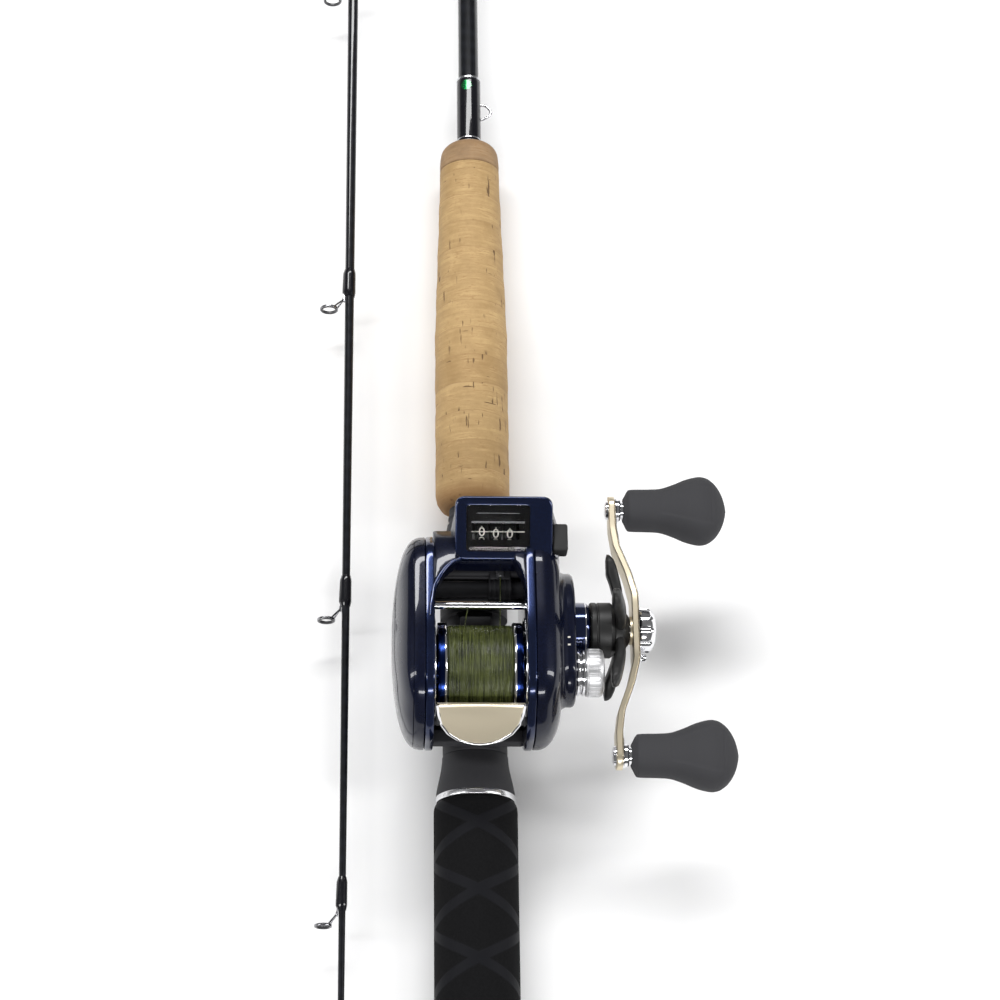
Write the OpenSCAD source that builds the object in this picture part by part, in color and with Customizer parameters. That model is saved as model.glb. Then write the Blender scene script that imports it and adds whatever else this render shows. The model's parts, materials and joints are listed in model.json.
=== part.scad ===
// Two-piece casting rod with a line-counter reel clamped in its seat.
// The tip section lies beside the butt section, its tip pointing back toward the grip.
// Frame: Y runs along the rod toward the ferrule, Z points up on the reel's side,
// X points to the crank. The origin is the middle of the rear grip, on the rod's axis.

/* [Rod sections] */
// Length of the butt section, cap end to ferrule end
butt_section_l = 1168; // [1080:1:1400]
// Length of the tip section, tip-top to ferrule mouth
tip_section_l = 1168; // [1100:1:1400]
// Distance between the axes of the two sections as they lie side by side
section_gap = 50.3; // [44:0.1:90]
// Blank diameter under the butt cap
blank_butt_d = 10.7; // [9.4:0.1:12]
// Blank diameter where the ferrule spigot starts
blank_front_d = 6.7; // [6.2:0.1:7.6]
// Blank diameter at the tip-top
tip_end_d = 1.7; // [1.4:0.1:2.2]
// Tip blank diameter behind its ferrule
tip_root_d = 6.6; // [5.8:0.1:7.4]
// Wall thickness of the blanks
blank_wall = 1.2; // [0.8:0.1:1.6]
// Diameter of the ferrule spigot
spigot_d = 6.6; // [5.6:0.1:7]
// Length of the ferrule spigot
spigot_l = 50; // [30:1:70]
// Length of the sleeve that the spigot enters
socket_l = 66; // [40:1:90]

/* [Grips and seat] */
// Rear grip length
grip_l = 230; // [180:1:300]
// Rear grip diameter
grip_d = 32; // [29:0.5:36]
// Butt cap length beyond the grip
cap_l = 17; // [10:1:26]
// Width of the metal ring in front of the rear grip
trim_w = 3; // [2:0.5:5]
// Reel seat length from trim ring to foregrip
seat_l = 115.2; // [112:0.1:140]
// Reel seat diameter under the reel foot
seat_d = 21; // [19:0.5:22]
// Reel seat diameter over its thread
thread_d = 19.6; // [17:0.1:20]
// Foregrip cork length
cork_l = 152.8; // [100:0.1:220]
// Foregrip diameter next to the seat
cork_rear_d = 30; // [26:0.5:33]
// Foregrip diameter at its front
cork_front_d = 25; // [20:0.5:28]
// Length of the dark composite cork at the front
cork_cap_l = 15; // [8:0.5:25]
// Length of the thread wrap ahead of the foregrip
wrap_l = 33; // [26:1:50]
// Lock nut length
nut_l = 26.4; // [20:0.1:28]
// Lock nut diameter
nut_d = 22.4; // [21.4:0.1:25]
// Hood diameter, fixed and sliding
hood_d = 26.4; // [25.6:0.1:30]

/* [Reel body] */
// Distance between the inner faces of the frame plates
frame_w = 34; // [30:0.5:44]
// Thickness of each frame plate
plate_t = 3.3; // [2.5:0.1:4.5]
// Height of the spool axis over the rod axis
spool_h = 38; // [37:0.1:42]
// Spool flange diameter
flange_d = 37.2; // [32:0.2:37.4]
// Diameter of the wound line
line_pack_d = 35.2; // [24:0.2:35.8]
// Wound line width
line_pack_w = 24.4; // [20:0.1:27]
// Depth of the palm side cover
palm_depth = 12.3; // [9:0.1:16]
// Depth of the gear side cover without its boss
gear_depth = 10; // [9.6:0.1:12]
// Height of the boss on the gear side cover
boss_h = 5.4; // [5.2:0.1:8]
// Wall thickness of the covers
cover_wall = 1.8; // [1.2:0.1:2.2]
// Counter top face width
counter_w = 36.6; // [33:0.1:37]
// Counter top face depth
counter_d = 24; // [21:0.1:24.5]

/* [Gears] */
// Tooth size, pitch diameter over tooth count
gear_module = 0.5; // [0.5:0.01:0.52]
// Teeth on the pinion
pinion_teeth = 12; // [12:1:13]
// Teeth on the drive gear
drive_teeth = 72; // [71:1:72]
// Teeth on the small gear that drives the level wind
feed_teeth = 34; // [33:1:34]
// Teeth on the worm's gear
worm_teeth = 27; // [27:1:28]

/* [Crank] */
// Distance between the two knob axes
crank_span = 99; // [90:1:120]
// Crank arm thickness
arm_t = 3; // [2.4:0.1:3.6]
// Crank arm width at its middle
arm_w = 13; // [11:0.5:16]
// Knob length
knob_l = 40; // [30:0.1:44]
// Knob diameter at its widest
knob_d = 27.5; // [22:0.5:30]
// Star wheel diameter over its arms
star_d = 59; // [44:1:62]

/* [Hidden] */
$fn = 64;

// Clearances
glue_gap = 0.05;
run_gap = 0.05;
slide_gap = 0.1;
free_gap = 0.4;

// Stations along the rod
cap_y = -grip_l / 2;
butt_y = cap_y - cap_l;
trim_y = grip_l / 2;
seat_y = trim_y + trim_w;
seat_r = seat_d / 2;
flare_l = 12;
hood_y = seat_y + flare_l;
hood_l = 13;
foot_l = 55;
foot_w = 13;
foot_y = hood_y + 6;
foot_end_y = foot_y + foot_l;
tab_l = 5;
thread_y = foot_end_y - tab_l;
nut_travel = 6;
thread_end_y = seat_y + seat_l;
slide_hood_l = thread_end_y - nut_travel - 0.6 - nut_l - thread_y - run_gap;
nut_y = thread_y + slide_hood_l + run_gap;
cork_y = thread_end_y;
cork_cap_y = cork_y + cork_l;
check_y = cork_cap_y + cork_cap_l;
check_w = 2;
wrap_y = check_y + check_w;
front_y = butt_y + butt_section_l;
shoulder_y = front_y - spigot_l;
wrap_t = 0.7;

// Blank radius of the butt section at a station
blank_r0 = blank_butt_d / 2;
blank_slope = (blank_front_d - blank_butt_d) / 2 / (shoulder_y - cap_y);
function blank_r(y) = blank_r0 + blank_slope * (y - cap_y);

// Tip section
tip_y = butt_y;
tip_front_y = tip_y + tip_section_l;
socket_y = tip_front_y - socket_l;
socket_r = spigot_d / 2 + run_gap;
tip_slope = (tip_root_d - tip_end_d) / 2 / (socket_y - tip_y);
function tip_r(y) = tip_end_d / 2 + tip_slope * (y - tip_y);

// Line guides: distance of the ring plane from the ferrule end, ring inner radius, height
butt_guides = [[287, 5, 14.5, true], [86, 3.6, 11, false]];
tip_guides = [
    [212, 3.4, 10.4], [394, 3, 9.6], [560.5, 2.8, 9], [712.7, 2.6, 8.4],
    [849.6, 2.4, 7.6], [970.8, 2.2, 7], [1077, 2, 6.4]
];
ring_t = 0.6;
holder_t = 0.55;
holder_w = 1;
guide_foot_y = 4;
guide_foot_l = 14;

// Reel axes
spool_y = foot_y + 16;
crank_ahead = 19.6;
worm_ahead = 13.9;
mesh_d = gear_module * (pinion_teeth + drive_teeth) / 2;
feed_d = gear_module * (feed_teeth + worm_teeth) / 2;
crank_y = spool_y + crank_ahead;
crank_z = spool_h - sqrt(mesh_d * mesh_d - crank_ahead * crank_ahead);
worm_y = crank_y + worm_ahead;
worm_z = crank_z + sqrt(feed_d * feed_d - worm_ahead * worm_ahead);
crank_to_spool = atan2(spool_h - crank_z, -crank_ahead);
crank_to_worm = atan2(worm_z - crank_z, worm_ahead);
pressure_angle = 25;
backlash = 0.12;

// Stations across the reel
half_w = frame_w / 2;
plate_x = half_w + plate_t;
palm_x = plate_x + palm_depth;
gear_x = plate_x + gear_depth;
boss_x = gear_x + boss_h;
shaft_r = 1.8;
drive_r = 3;
collar_x = boss_x + run_gap;
collar_w = 6.4;
drum_x = collar_x + collar_w + 0.3;
drum_w = 9.2;
star_x = drum_x + drum_w;
star_w = 5.8;
arm_gap = 1;
arm_x = star_x + star_w + arm_gap;
arm_set = 7.4;
post_x = arm_x - arm_set;
knob_x = post_x + arm_t + 3;
nut_x = arm_x + arm_t;
foot_top_r = seat_r + 2.3;
deck_z = spool_h - flange_d / 2 - 1.2;
deck_t = 1.8;

// Clutch posts beside the spool axis
post_arm = 8.2;
post_r = 0.9;

// Thumb bar: upper and lower edges and guide pin about the spool axis
bar_top = [-18, 15];
bar_low = [-28, -0.5];
bar_dir = (bar_low - bar_top) / norm(bar_low - bar_top);
bar_slope = atan2(bar_top[1] - bar_low[1], bar_top[0] - bar_low[0]);
bar_len = norm(bar_top - bar_low);
bar_t = 2.2;
bar_pin = [-21.2, 6.6];
bar_pin_r = 1.4;
bar_travel = 4;

// Line counter
counter_tilt = 21.7;
counter_mid = [8.85, spool_y + 49.2, spool_h + 22];
counter_base_z = spool_h + 7.5 + run_gap;
counter_rear_y = spool_y + 37.3;

// Side outline of the reel about the spool axis, as [forward, up]
side_pts = [
    [-19, -30], [-27, -13], [-26.5, 5], [-13, 21.5], [12, 23.5], [44, 19.5],
    [52, 8], [52, -16], [43, -31], [10, -32]
];
side_mid = [12.5, -4];

// Round the corners of an outline with short curves
function rounded(pts, r, n = 5) = [
    for (i = [0 : len(pts) - 1])
        let (a = pts[(i + len(pts) - 1) % len(pts)], b = pts[i], c = pts[(i + 1) % len(pts)])
        let (p = b + (a - b) / norm(a - b) * r, q = b + (c - b) / norm(c - b) * r)
        for (t = [0 : n])
            pow(1 - t / n, 2) * p + 2 * t / n * (1 - t / n) * b + pow(t / n, 2) * q
];

// Lay a turned profile of [radius, station] points along the rod
module spin_y() {
    rotate([-90, 0, 0]) rotate_extrude() children();
}

// Turn a profile of [radius, station] points about an axis across the reel
module spin_x(y, z) {
    translate([0, y, z]) rotate([0, 90, 0]) rotate_extrude() children();
}

// A rod or hole of radius r across the reel, from x0 to x1
module pin_x(x0, x1, r, y, z) {
    translate([x0, y, z]) rotate([0, 90, 0]) cylinder(h = x1 - x0, r = r);
}

// A rod or hole of radius r along the rod, from y0 to y1
module pin_y(y0, y1, r) {
    translate([0, y0, 0]) rotate([-90, 0, 0]) cylinder(h = y1 - y0, r = r);
}

// Extrude a drawing made in the [forward, up] plane across the reel
module side_slab(x0, x1) {
    translate([x0, 0, 0]) rotate([90, 0, 90]) linear_extrude(x1 - x0) children();
}

// A sleeve on the butt blank whose bore follows the blank's taper
module sleeve(y0, y1, r0, r1) {
    spin_y() polygon([
        [blank_r(y0) + glue_gap, y0], [r0, y0], [r1, y1], [blank_r(y1) + glue_gap, y1]
    ]);
}

// ---------- butt section ----------

module butt_blank() {
    color("#15161a") spin_y() polygon([
        [blank_r(cap_y) - blank_wall, cap_y], [blank_r(cap_y), cap_y],
        [blank_r(shoulder_y), shoulder_y], [spigot_d / 2, shoulder_y],
        [spigot_d / 2, front_y], [spigot_d / 2 - blank_wall, front_y],
        [spigot_d / 2 - blank_wall, shoulder_y]
    ]);
}

module butt_cap() {
    cap_r = grip_d / 2 - 0.5;
    color("#1c1c1c") spin_y() polygon([
        [0, butt_y], [cap_r * 0.72, butt_y], [cap_r * 0.92, butt_y + 1.6],
        [cap_r, butt_y + 5], [cap_r, cap_y], [0, cap_y]
    ]);
}

module rear_grip() {
    r = grip_d / 2;
    edge = 2;
    color("#26272a") spin_y() polygon([
        [blank_r(cap_y) + glue_gap, cap_y], [r - edge, cap_y], [r - edge * 0.3, cap_y + edge * 0.3],
        [r, cap_y + edge], [r, trim_y - edge], [r - edge * 0.3, trim_y - edge * 0.3],
        [r - edge, trim_y], [blank_r(trim_y) + glue_gap, trim_y]
    ]);
}

module trim_rings() {
    color("#c9ccd2") sleeve(trim_y, seat_y, grip_d / 2 - 0.3, grip_d / 2 - 0.3);
    color("#c9ccd2") sleeve(check_y, wrap_y, blank_r(check_y) + 2.2, blank_r(check_y) + 1.6);
}

module reel_seat() {
    thread_r = thread_d / 2;
    ridge = 0.4;
    pitch = 3;
    ridge_count = floor((thread_end_y - thread_y - 2) / pitch);
    color("#17181b") union() {
        spin_y() polygon([
            [blank_r(seat_y) + glue_gap, seat_y], [grip_d / 2 - 0.8, seat_y],
            [grip_d / 2 - 1.6, seat_y + 3], [hood_d / 2 + 0.1, hood_y - 2], [hood_d / 2, hood_y],
            [seat_r, hood_y], [seat_r, thread_y], [thread_r - ridge, thread_y],
            [thread_r - ridge, thread_end_y], [blank_r(thread_end_y) + glue_gap, thread_end_y]
        ]);
        for (i = [0 : ridge_count - 1]) {
            spin_y() translate([thread_r - ridge, thread_y + 1.5 + i * pitch])
                polygon([[-0.1, -0.9], [0, -0.9], [ridge, -0.3], [ridge, 0.3], [0, 0.9], [-0.1, 0.9]]);
        }
    }
}

// Pocket that holds an end of the reel foot
module foot_pocket(y0, y1) {
    intersection() {
        pin_y(y0, y1, seat_r + 1.9 + slide_gap);
        translate([-foot_w / 2 - 0.3, y0, 0]) cube([foot_w + 0.6, y1 - y0, hood_d]);
    }
}

module fixed_hood() {
    color("#1d1e22") difference() {
        pin_y(hood_y, hood_y + hood_l, hood_d / 2);
        pin_y(hood_y - 1, hood_y + hood_l + 1, seat_r + glue_gap);
        foot_pocket(foot_y - 0.3, hood_y + hood_l + 1);
    }
}

module sliding_hood() {
    color("#1d1e22") difference() {
        spin_y() polygon([
            [thread_d / 2 + slide_gap, thread_y], [hood_d / 2, thread_y],
            [hood_d / 2, nut_y - 5], [nut_d / 2 + 0.4, nut_y - run_gap],
            [thread_d / 2 + slide_gap, nut_y - run_gap]
        ]);
        foot_pocket(thread_y - 1, foot_end_y + 0.4);
    }
}

module lock_nut() {
    grooves = 16;
    color("#202126") difference() {
        spin_y() polygon([
            [thread_d / 2 + slide_gap, nut_y], [nut_d / 2, nut_y], [nut_d / 2, nut_y + nut_l - 5],
            [nut_d / 2 - 0.7, nut_y + nut_l], [thread_d / 2 + slide_gap, nut_y + nut_l]
        ]);
        for (i = [0 : grooves - 1]) {
            rotate([0, i * 360 / grooves, 0]) translate([nut_d / 2 + 0.35, 0, 0])
                pin_y(nut_y + 3, nut_y + nut_l - 7, 0.8);
        }
    }
}

module foregrip() {
    r0 = cork_rear_d / 2;
    r1 = cork_front_d / 2;
    color("#c6a06c") spin_y() polygon([
        [blank_r(cork_y) + glue_gap, cork_y], [r0 - 5, cork_y], [r0 - 2.2, cork_y + 1.4],
        [r0 - 0.6, cork_y + 4], [r0, cork_y + 8], [r0, cork_y + cork_l * 0.5],
        [r1, cork_cap_y], [blank_r(cork_cap_y) + glue_gap, cork_cap_y]
    ]);
}

module foregrip_cap() {
    r1 = cork_front_d / 2;
    color("#8a6a45") spin_y() polygon([
        [blank_r(cork_cap_y) + glue_gap, cork_cap_y], [r1, cork_cap_y], [r1, check_y - 5],
        [r1 - 1.2, check_y - 2], [r1 - 3.4, check_y], [blank_r(check_y) + glue_gap, check_y]
    ]);
}

// Wire loop that holds a hook, on the crank side ahead of the foregrip
keeper_y = wrap_y + 11;
keeper_l = 10;
keeper_wire_r = 0.6;
module hook_keeper() {
    leg_r = blank_r(keeper_y) + 0.3;
    bend_r = 2.4;
    top_r = leg_r + 4.9;
    color("#c9ccd2") union() {
        for (s = [0, 1]) {
            translate([leg_r, keeper_y + s * keeper_l, 0]) rotate([0, 90, 0])
                cylinder(h = top_r - leg_r - bend_r, r = keeper_wire_r, $fn = 24);
            translate([top_r - bend_r, keeper_y + s * keeper_l + (s == 0 ? bend_r : -bend_r), 0])
                rotate([0, 0, s == 0 ? 270 : 0]) rotate_extrude(angle = 90)
                translate([bend_r, 0]) circle(r = keeper_wire_r, $fn = 24);
        }
        translate([top_r, keeper_y + bend_r, 0]) rotate([-90, 0, 0])
            cylinder(h = keeper_l - 2 * bend_r, r = keeper_wire_r, $fn = 24);
    }
}

// ---------- line guides ----------

// One guide on top of a blank of radius rb: holder ring, leg and foot, ring plane at y = 0
module guide_frame(rb, ring_r, h, double) {
    r_in = ring_r + ring_t + 0.02;
    r_out = r_in + holder_t;
    difference() {
        union() {
            translate([0, holder_w / 2, h]) rotate([90, 0, 0]) cylinder(h = holder_w, r = r_out);
            for (s = double ? [1, -1] : [1]) {
                translate([-0.6, 0, 0]) rotate([90, 0, 90]) linear_extrude(1.2) polygon([
                    [-s * 0.5, h - r_in - holder_t / 2], [s * 0.5, h - r_in - holder_t / 2],
                    [s * (guide_foot_y + 1.4), rb + 0.85], [s * (guide_foot_y - 0.6), rb + 0.05]
                ]);
                translate([-0.8, s > 0 ? guide_foot_y - 0.6 : -guide_foot_y - guide_foot_l + 0.6, rb + 0.05])
                    cube([1.6, guide_foot_l, 0.8]);
            }
        }
        translate([0, 2, h]) rotate([90, 0, 0]) cylinder(h = 4, r = r_in);
    }
}

module guide_ring(ring_r, h) {
    translate([0, 0.7, h]) rotate([90, 0, 0]) difference() {
        cylinder(h = 1.4, r = ring_r + ring_t);
        translate([0, 0, -1]) cylinder(h = 4, r = ring_r);
    }
}

// Thread wrap over one guide foot
module guide_wrap(rb, s) {
    y0 = s > 0 ? guide_foot_y + 1.8 : -guide_foot_y - guide_foot_l - 0.6;
    l = guide_foot_l - 1.2;
    difference() {
        union() {
            pin_y(y0, y0 + l, rb + wrap_t);
            translate([0, 0, rb + 0.25]) pin_y(y0, y0 + l, 1.3);
        }
        pin_y(y0 - 1, y0 + l + 1, rb + glue_gap);
        translate([-0.85, y0 - 1, 0]) cube([1.7, l + 2, rb + 0.9]);
    }
}

module butt_wraps() {
    color("#0c0d10") difference() {
        sleeve(wrap_y, wrap_y + wrap_l, blank_r(wrap_y) + wrap_t, blank_r(wrap_y) + wrap_t);
        for (s = [0, 1]) {
            translate([0, keeper_y + s * keeper_l, 0]) rotate([0, 90, 0])
                cylinder(h = 12, r = keeper_wire_r + glue_gap, $fn = 24);
        }
    }
    for (g = butt_guides) {
        y = front_y - g[0];
        rb = blank_r(y - guide_foot_y - guide_foot_l);
        color("#0c0d10") translate([0, y, 0]) {
            guide_wrap(rb, 1);
            if (g[3]) guide_wrap(rb, -1);
        }
    }
}

module butt_guide_frames() {
    for (g = butt_guides) {
        y = front_y - g[0];
        color("#8d9096") translate([0, y, 0])
            guide_frame(blank_r(y - guide_foot_y - guide_foot_l), g[1], g[2], g[3]);
    }
}

module butt_guide_rings() {
    for (g = butt_guides) {
        color("#3a3b40") translate([0, front_y - g[0], 0]) guide_ring(g[1], g[2]);
    }
}

// ---------- tip section ----------

module tip_blank() {
    hollow_y = tip_y + 450;
    color("#15161a") translate([-section_gap, 0, 0]) difference() {
        spin_y() polygon([
            [0, tip_y + 2], [tip_r(tip_y + 2), tip_y + 2], [tip_r(socket_y), socket_y],
            [socket_r + 1.05, socket_y + 8], [socket_r + 1.05, tip_front_y], [0, tip_front_y]
        ]);
        spin_y() polygon([
            [0, hollow_y], [0.5, hollow_y], [tip_r(socket_y) - blank_wall, socket_y],
            [tip_r(socket_y) - blank_wall, tip_front_y - spigot_l - 2], [0, tip_front_y - spigot_l - 2]
        ]);
        pin_y(tip_front_y - spigot_l - 2, tip_front_y + 1, socket_r);
    }
}

// Place a guide part on the tip section, pointing away from the butt section
module on_tip(from_end) {
    translate([-section_gap, tip_front_y - from_end, 0]) rotate([0, -90, 0]) children();
}

module tip_guide_frames() {
    for (g = tip_guides) {
        rb = tip_r(tip_front_y - g[0] + guide_foot_y + guide_foot_l);
        color("#8d9096") on_tip(g[0]) guide_frame(rb, g[1], g[2], false);
    }
}

module tip_guide_rings() {
    for (g = tip_guides) {
        color("#3a3b40") on_tip(g[0]) guide_ring(g[1], g[2]);
    }
}

module tip_wraps() {
    for (g = tip_guides) {
        rb = tip_r(tip_front_y - g[0] + guide_foot_y + guide_foot_l);
        color("#0c0d10") on_tip(g[0]) guide_wrap(rb, 1);
    }
    color("#0c0d10") translate([-section_gap, 0, 0]) difference() {
        pin_y(tip_front_y - 26, tip_front_y - 2, socket_r + 1.05 + wrap_t);
        pin_y(tip_front_y - 27, tip_front_y, socket_r + 1.05 + glue_gap);
    }
}

module tip_top() {
    tube_r = tip_r(tip_y + 12) + glue_gap;
    color("#8d9096") translate([-section_gap, 0, 0]) difference() {
        union() {
            pin_y(tip_y + 1, tip_y + 12, tube_r + 0.4);
            translate([-4.2, tip_y + 1.6, 0]) rotate([90, 0, 0]) cylinder(h = 1.6, r = 3);
            translate([-2.4, tip_y, -0.5]) cube([2.4, 5, 1]);
        }
        pin_y(tip_y + 1.9, tip_y + 13, tube_r);
        translate([-4.2, tip_y + 3, 0]) rotate([90, 0, 0]) cylinder(h = 5, r = 1.8);
    }
}

// ---------- reel frame and covers ----------

screw_r = 1.2;
cover_screws = [[-17.5, -19], [45.5, -20], [31, 18]];
module place_side() {
    translate([spool_y, spool_h]) children();
}

// Pins at the cover screws, from x0 to x1
module screw_pins(x0, x1, r) {
    for (p = cover_screws) {
        pin_x(x0, x1, r, spool_y + p[0], spool_h + p[1]);
    }
}

// Room that the line counter takes out of the frame and the gear side cover
module counter_notch() {
    translate([-12, counter_rear_y, counter_base_z - run_gap]) cube([60, 40, 40]);
}

module reel_frame() {
    slot_a = bar_pin - bar_dir * (bar_pin_r + 0.2);
    slot_b = bar_pin + bar_dir * (bar_travel + bar_pin_r + 0.2);
    slot_side = [bar_dir[1], -bar_dir[0]] * (bar_pin_r + 0.2);
    color("#1b2340") difference() {
        union() {
            for (s = [-1, 1]) {
                side_slab(s < 0 ? -plate_x : half_w, s < 0 ? -half_w : plate_x)
                    place_side() polygon(rounded(side_pts, 5));
            }
            translate([-half_w, spool_y - 17, deck_z - deck_t]) cube([frame_w, 37, deck_t]);
            translate([-half_w, spool_y + 42, deck_z - deck_t]) cube([frame_w, 4, 9]);
            translate([-half_w, spool_y - 22, deck_z - deck_t - 1]) cube([frame_w, 5, 6]);
            translate([-half_w, spool_y + 40, spool_h + 5.5]) cube([frame_w, 9, 2]);
            translate([-half_w - 0.5, spool_y + 36, spool_h + 7]) cube([6.5, 16, 12.5]);
            translate([-6, spool_y - 4, foot_top_r - 3]) cube([12, 34, deck_z - foot_top_r + 2]);
            at_posts() translate([0, 0, plate_x - 0.5])
                cylinder(h = boss_x - cover_wall - plate_x - 0.1, r = post_r);
        }
        pin_y(spool_y - 40, spool_y + 60, foot_top_r + glue_gap);
        pin_x(-plate_x - 1, -half_w + 1, flange_d / 2 + free_gap, spool_y, spool_h);
        pin_x(half_w - 1, plate_x + 1, 5, spool_y, spool_h);
        pin_x(half_w - 1, plate_x + 1, drive_r + run_gap, crank_y, crank_z);
        pin_x(-plate_x - 1, plate_x + 1, 2 + run_gap, worm_y, worm_z);
        side_slab(-plate_x - 1, plate_x + 1) place_side()
            polygon([slot_a - slot_side, slot_a + slot_side, slot_b + slot_side, slot_b - slot_side]);
        counter_notch();
        screw_pins(-plate_x - 1, plate_x + 1, screw_r + run_gap);
    }
}

module reel_foot() {
    color("#1b2340") difference() {
        intersection() {
            union() {
                pin_y(foot_y, foot_end_y, seat_r + 1.9);
                pin_y(foot_y + 9, foot_end_y - 9, foot_top_r);
            }
            translate([-foot_w / 2, foot_y, 0]) cube([foot_w, foot_l, hood_d]);
        }
        pin_y(foot_y - 1, foot_end_y + 1, seat_r + glue_gap);
        for (dy = [4, 24]) {
            translate([0, spool_y + dy, 0]) cylinder(h = hood_d, r = 1.5 + run_gap);
        }
    }
}

// Domed half of a side cover as a stack of shrinking outlines joined into one skin
module cover_skin(steps, inset) {
    hull() for (s = steps) {
        translate([s[0], 0, 0]) rotate([90, 0, 90]) linear_extrude(0.02)
            translate([spool_y, spool_h] + side_mid) scale(s[1])
            translate(-side_mid) offset(delta = -inset) polygon(rounded(side_pts, 7, 4));
    }
}

palm_steps = [for (t = [0, 0.12, 0.35, 0.58, 0.75, 0.9, 1]) [-plate_x - run_gap - t * palm_depth,
    sqrt(max(0.1, 1 - pow(t, 3) * 0.9))]];
module palm_side_cover() {
    inner = [for (p = palm_steps) [p[0] + cover_wall, p[1]]];
    color("#1b2340") difference() {
        union() {
            difference() {
                cover_skin(palm_steps, 0);
                cover_skin(inner, cover_wall);
                side_slab(-plate_x - run_gap, -half_w) place_side() circle(r = 60);
            }
            pin_x(-palm_x + cover_wall - 0.2, -plate_x - 0.4, 6.4, spool_y, spool_h);
            screw_pins(-plate_x - 5.5, -plate_x - run_gap, screw_r + 1.4);
        }
        screw_pins(-plate_x - 4.2, -plate_x + 1, screw_r + run_gap);
        pin_x(-palm_x + cover_wall + 3, -plate_x + 1, 4.8 + run_gap, spool_y, spool_h);
    }
}

gear_steps = [for (t = [0, 0.2, 0.5, 0.75, 1]) [plate_x + run_gap + t * gear_depth - t * run_gap,
    sqrt(1 - pow(t, 3) * 0.42)]];
boss_spool_r = 13;
boss_crank_r = 21.5;
module boss_hull(x0, x1, inset) {
    hull() {
        pin_x(x0, x1, boss_spool_r - inset, spool_y, spool_h, $fn = 48);
        pin_x(x0, x1, boss_crank_r - inset, crank_y, crank_z, $fn = 48);
    }
}

module gear_side_cover() {
    inner = [for (p = gear_steps) [p[0] - cover_wall, p[1]]];
    color("#1b2340") difference() {
        union() {
            difference() {
                union() {
                    cover_skin(gear_steps, 0);
                    boss_hull(gear_x - 3, boss_x, 0);
                }
                cover_skin(inner, cover_wall);
                boss_hull(plate_x, boss_x - cover_wall, cover_wall);
                side_slab(half_w, plate_x + run_gap) place_side() circle(r = 60);
            }
            pin_x(boss_x - cover_wall - 2.6, boss_x - cover_wall + 0.2, 6.2, spool_y, spool_h);
            pin_x(boss_x - cover_wall - 3.8, boss_x - cover_wall + 0.2, 8.2, crank_y, crank_z);
            pin_x(boss_x - 0.2, boss_x + 4.6, 5, spool_y, spool_h);
            screw_pins(plate_x + run_gap, plate_x + 5.5, screw_r + 1.4);
        }
        screw_pins(plate_x - 1, plate_x + 4.2, screw_r + run_gap);
        pin_x(boss_x - cover_wall - 3, boss_x - cover_wall + 0.05, 4.8 + run_gap, spool_y, spool_h);
        pin_x(boss_x - cover_wall - 5, boss_x - cover_wall + 0.05, 6.8 + run_gap, crank_y, crank_z);
        pin_x(plate_x, boss_x + 9, shaft_r + free_gap, spool_y, spool_h);
        pin_x(plate_x, boss_x + 9, drive_r + free_gap, crank_y, crank_z);
        counter_notch();
    }
}

// Screws: two through the foot, three through each plate into its cover
module reel_screws() {
    color("#c9ccd2") for (dy = [4, 24]) {
        translate([0, spool_y + dy, seat_r + 0.4]) cylinder(h = foot_top_r - seat_r - 0.5, r = 1.5);
    }
    color("#c9ccd2") screw_pins(-plate_x - 4, -half_w, screw_r);
    color("#c9ccd2") screw_pins(half_w, plate_x + 4, screw_r);
}

module guard_bar() {
    color("#e6e6ea") pin_x(-half_w, half_w, 1, spool_y + 24, spool_h + 7);
}

// ---------- line counter ----------

wheel_r = 5.2;
wheel_w = 4.6;
wheel_pitch = 5.2;
wheel_x = 5.9;
wheel_y = counter_mid[1] + 1.6;
wheel_z = counter_mid[2] - 7.5;
window_w = 23.8;
window_d = 17.4;
window_x = 6.7;
lens_t = 1;

// Move into the tilted top face of the counter
module on_counter(x = counter_mid[0]) {
    translate([x, counter_mid[1], counter_mid[2]]) rotate([counter_tilt, 0, 0]) children();
}

// Flat plate with rounded corners, its top at z = 0
module plate(w, d, t, r) {
    translate([0, 0, -t]) linear_extrude(t) polygon(rounded([
        [-w / 2, -d / 2], [w / 2, -d / 2], [w / 2, d / 2], [-w / 2, d / 2]
    ], r, 4));
}

module counter_housing() {
    color("#1b2340") difference() {
        hull() {
            on_counter() plate(counter_w - 1.6, counter_d - 1.6, 1, 3.4);
            on_counter() translate([0, 0, -0.8]) plate(counter_w, counter_d, 2.5, 4);
            translate([9.6, spool_y + 45.6, counter_base_z + 1]) plate(counter_w + 5, 16, 1, 4);
        }
        on_counter(window_x) translate([0, 0, 1]) plate(window_w, window_d, 2.4, 1.6);
        on_counter(window_x) translate([0, 0, 1]) plate(window_w - 3, window_d - 5, 5, 1.2);
        pin_x(wheel_x - 1.5 * wheel_pitch - 0.5, wheel_x + 1.5 * wheel_pitch + 0.5, wheel_r + 0.5,
            wheel_y, wheel_z);
        pin_x(wheel_x - 12, wheel_x + 12, 0.8 + glue_gap, wheel_y, wheel_z);
        translate([button_x - 2, button_y - 5.6, button_z - 3.8]) cube([12, 11.2, 7.6]);
        pin_x(button_x - 9.6, button_x, 2 + slide_gap, button_y, button_z);
    }
}

module counter_window() {
    color([0.5, 0.55, 0.6, 0.35]) on_counter(window_x)
        translate([0, 0, -0.3]) plate(window_w - 0.2, window_d - 0.2, lens_t, 1.5);
}

module counter_axle() {
    color("#b9bcc2") pin_x(wheel_x - 11.8, wheel_x + 11.8, 0.8, wheel_y, wheel_z);
}

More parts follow.
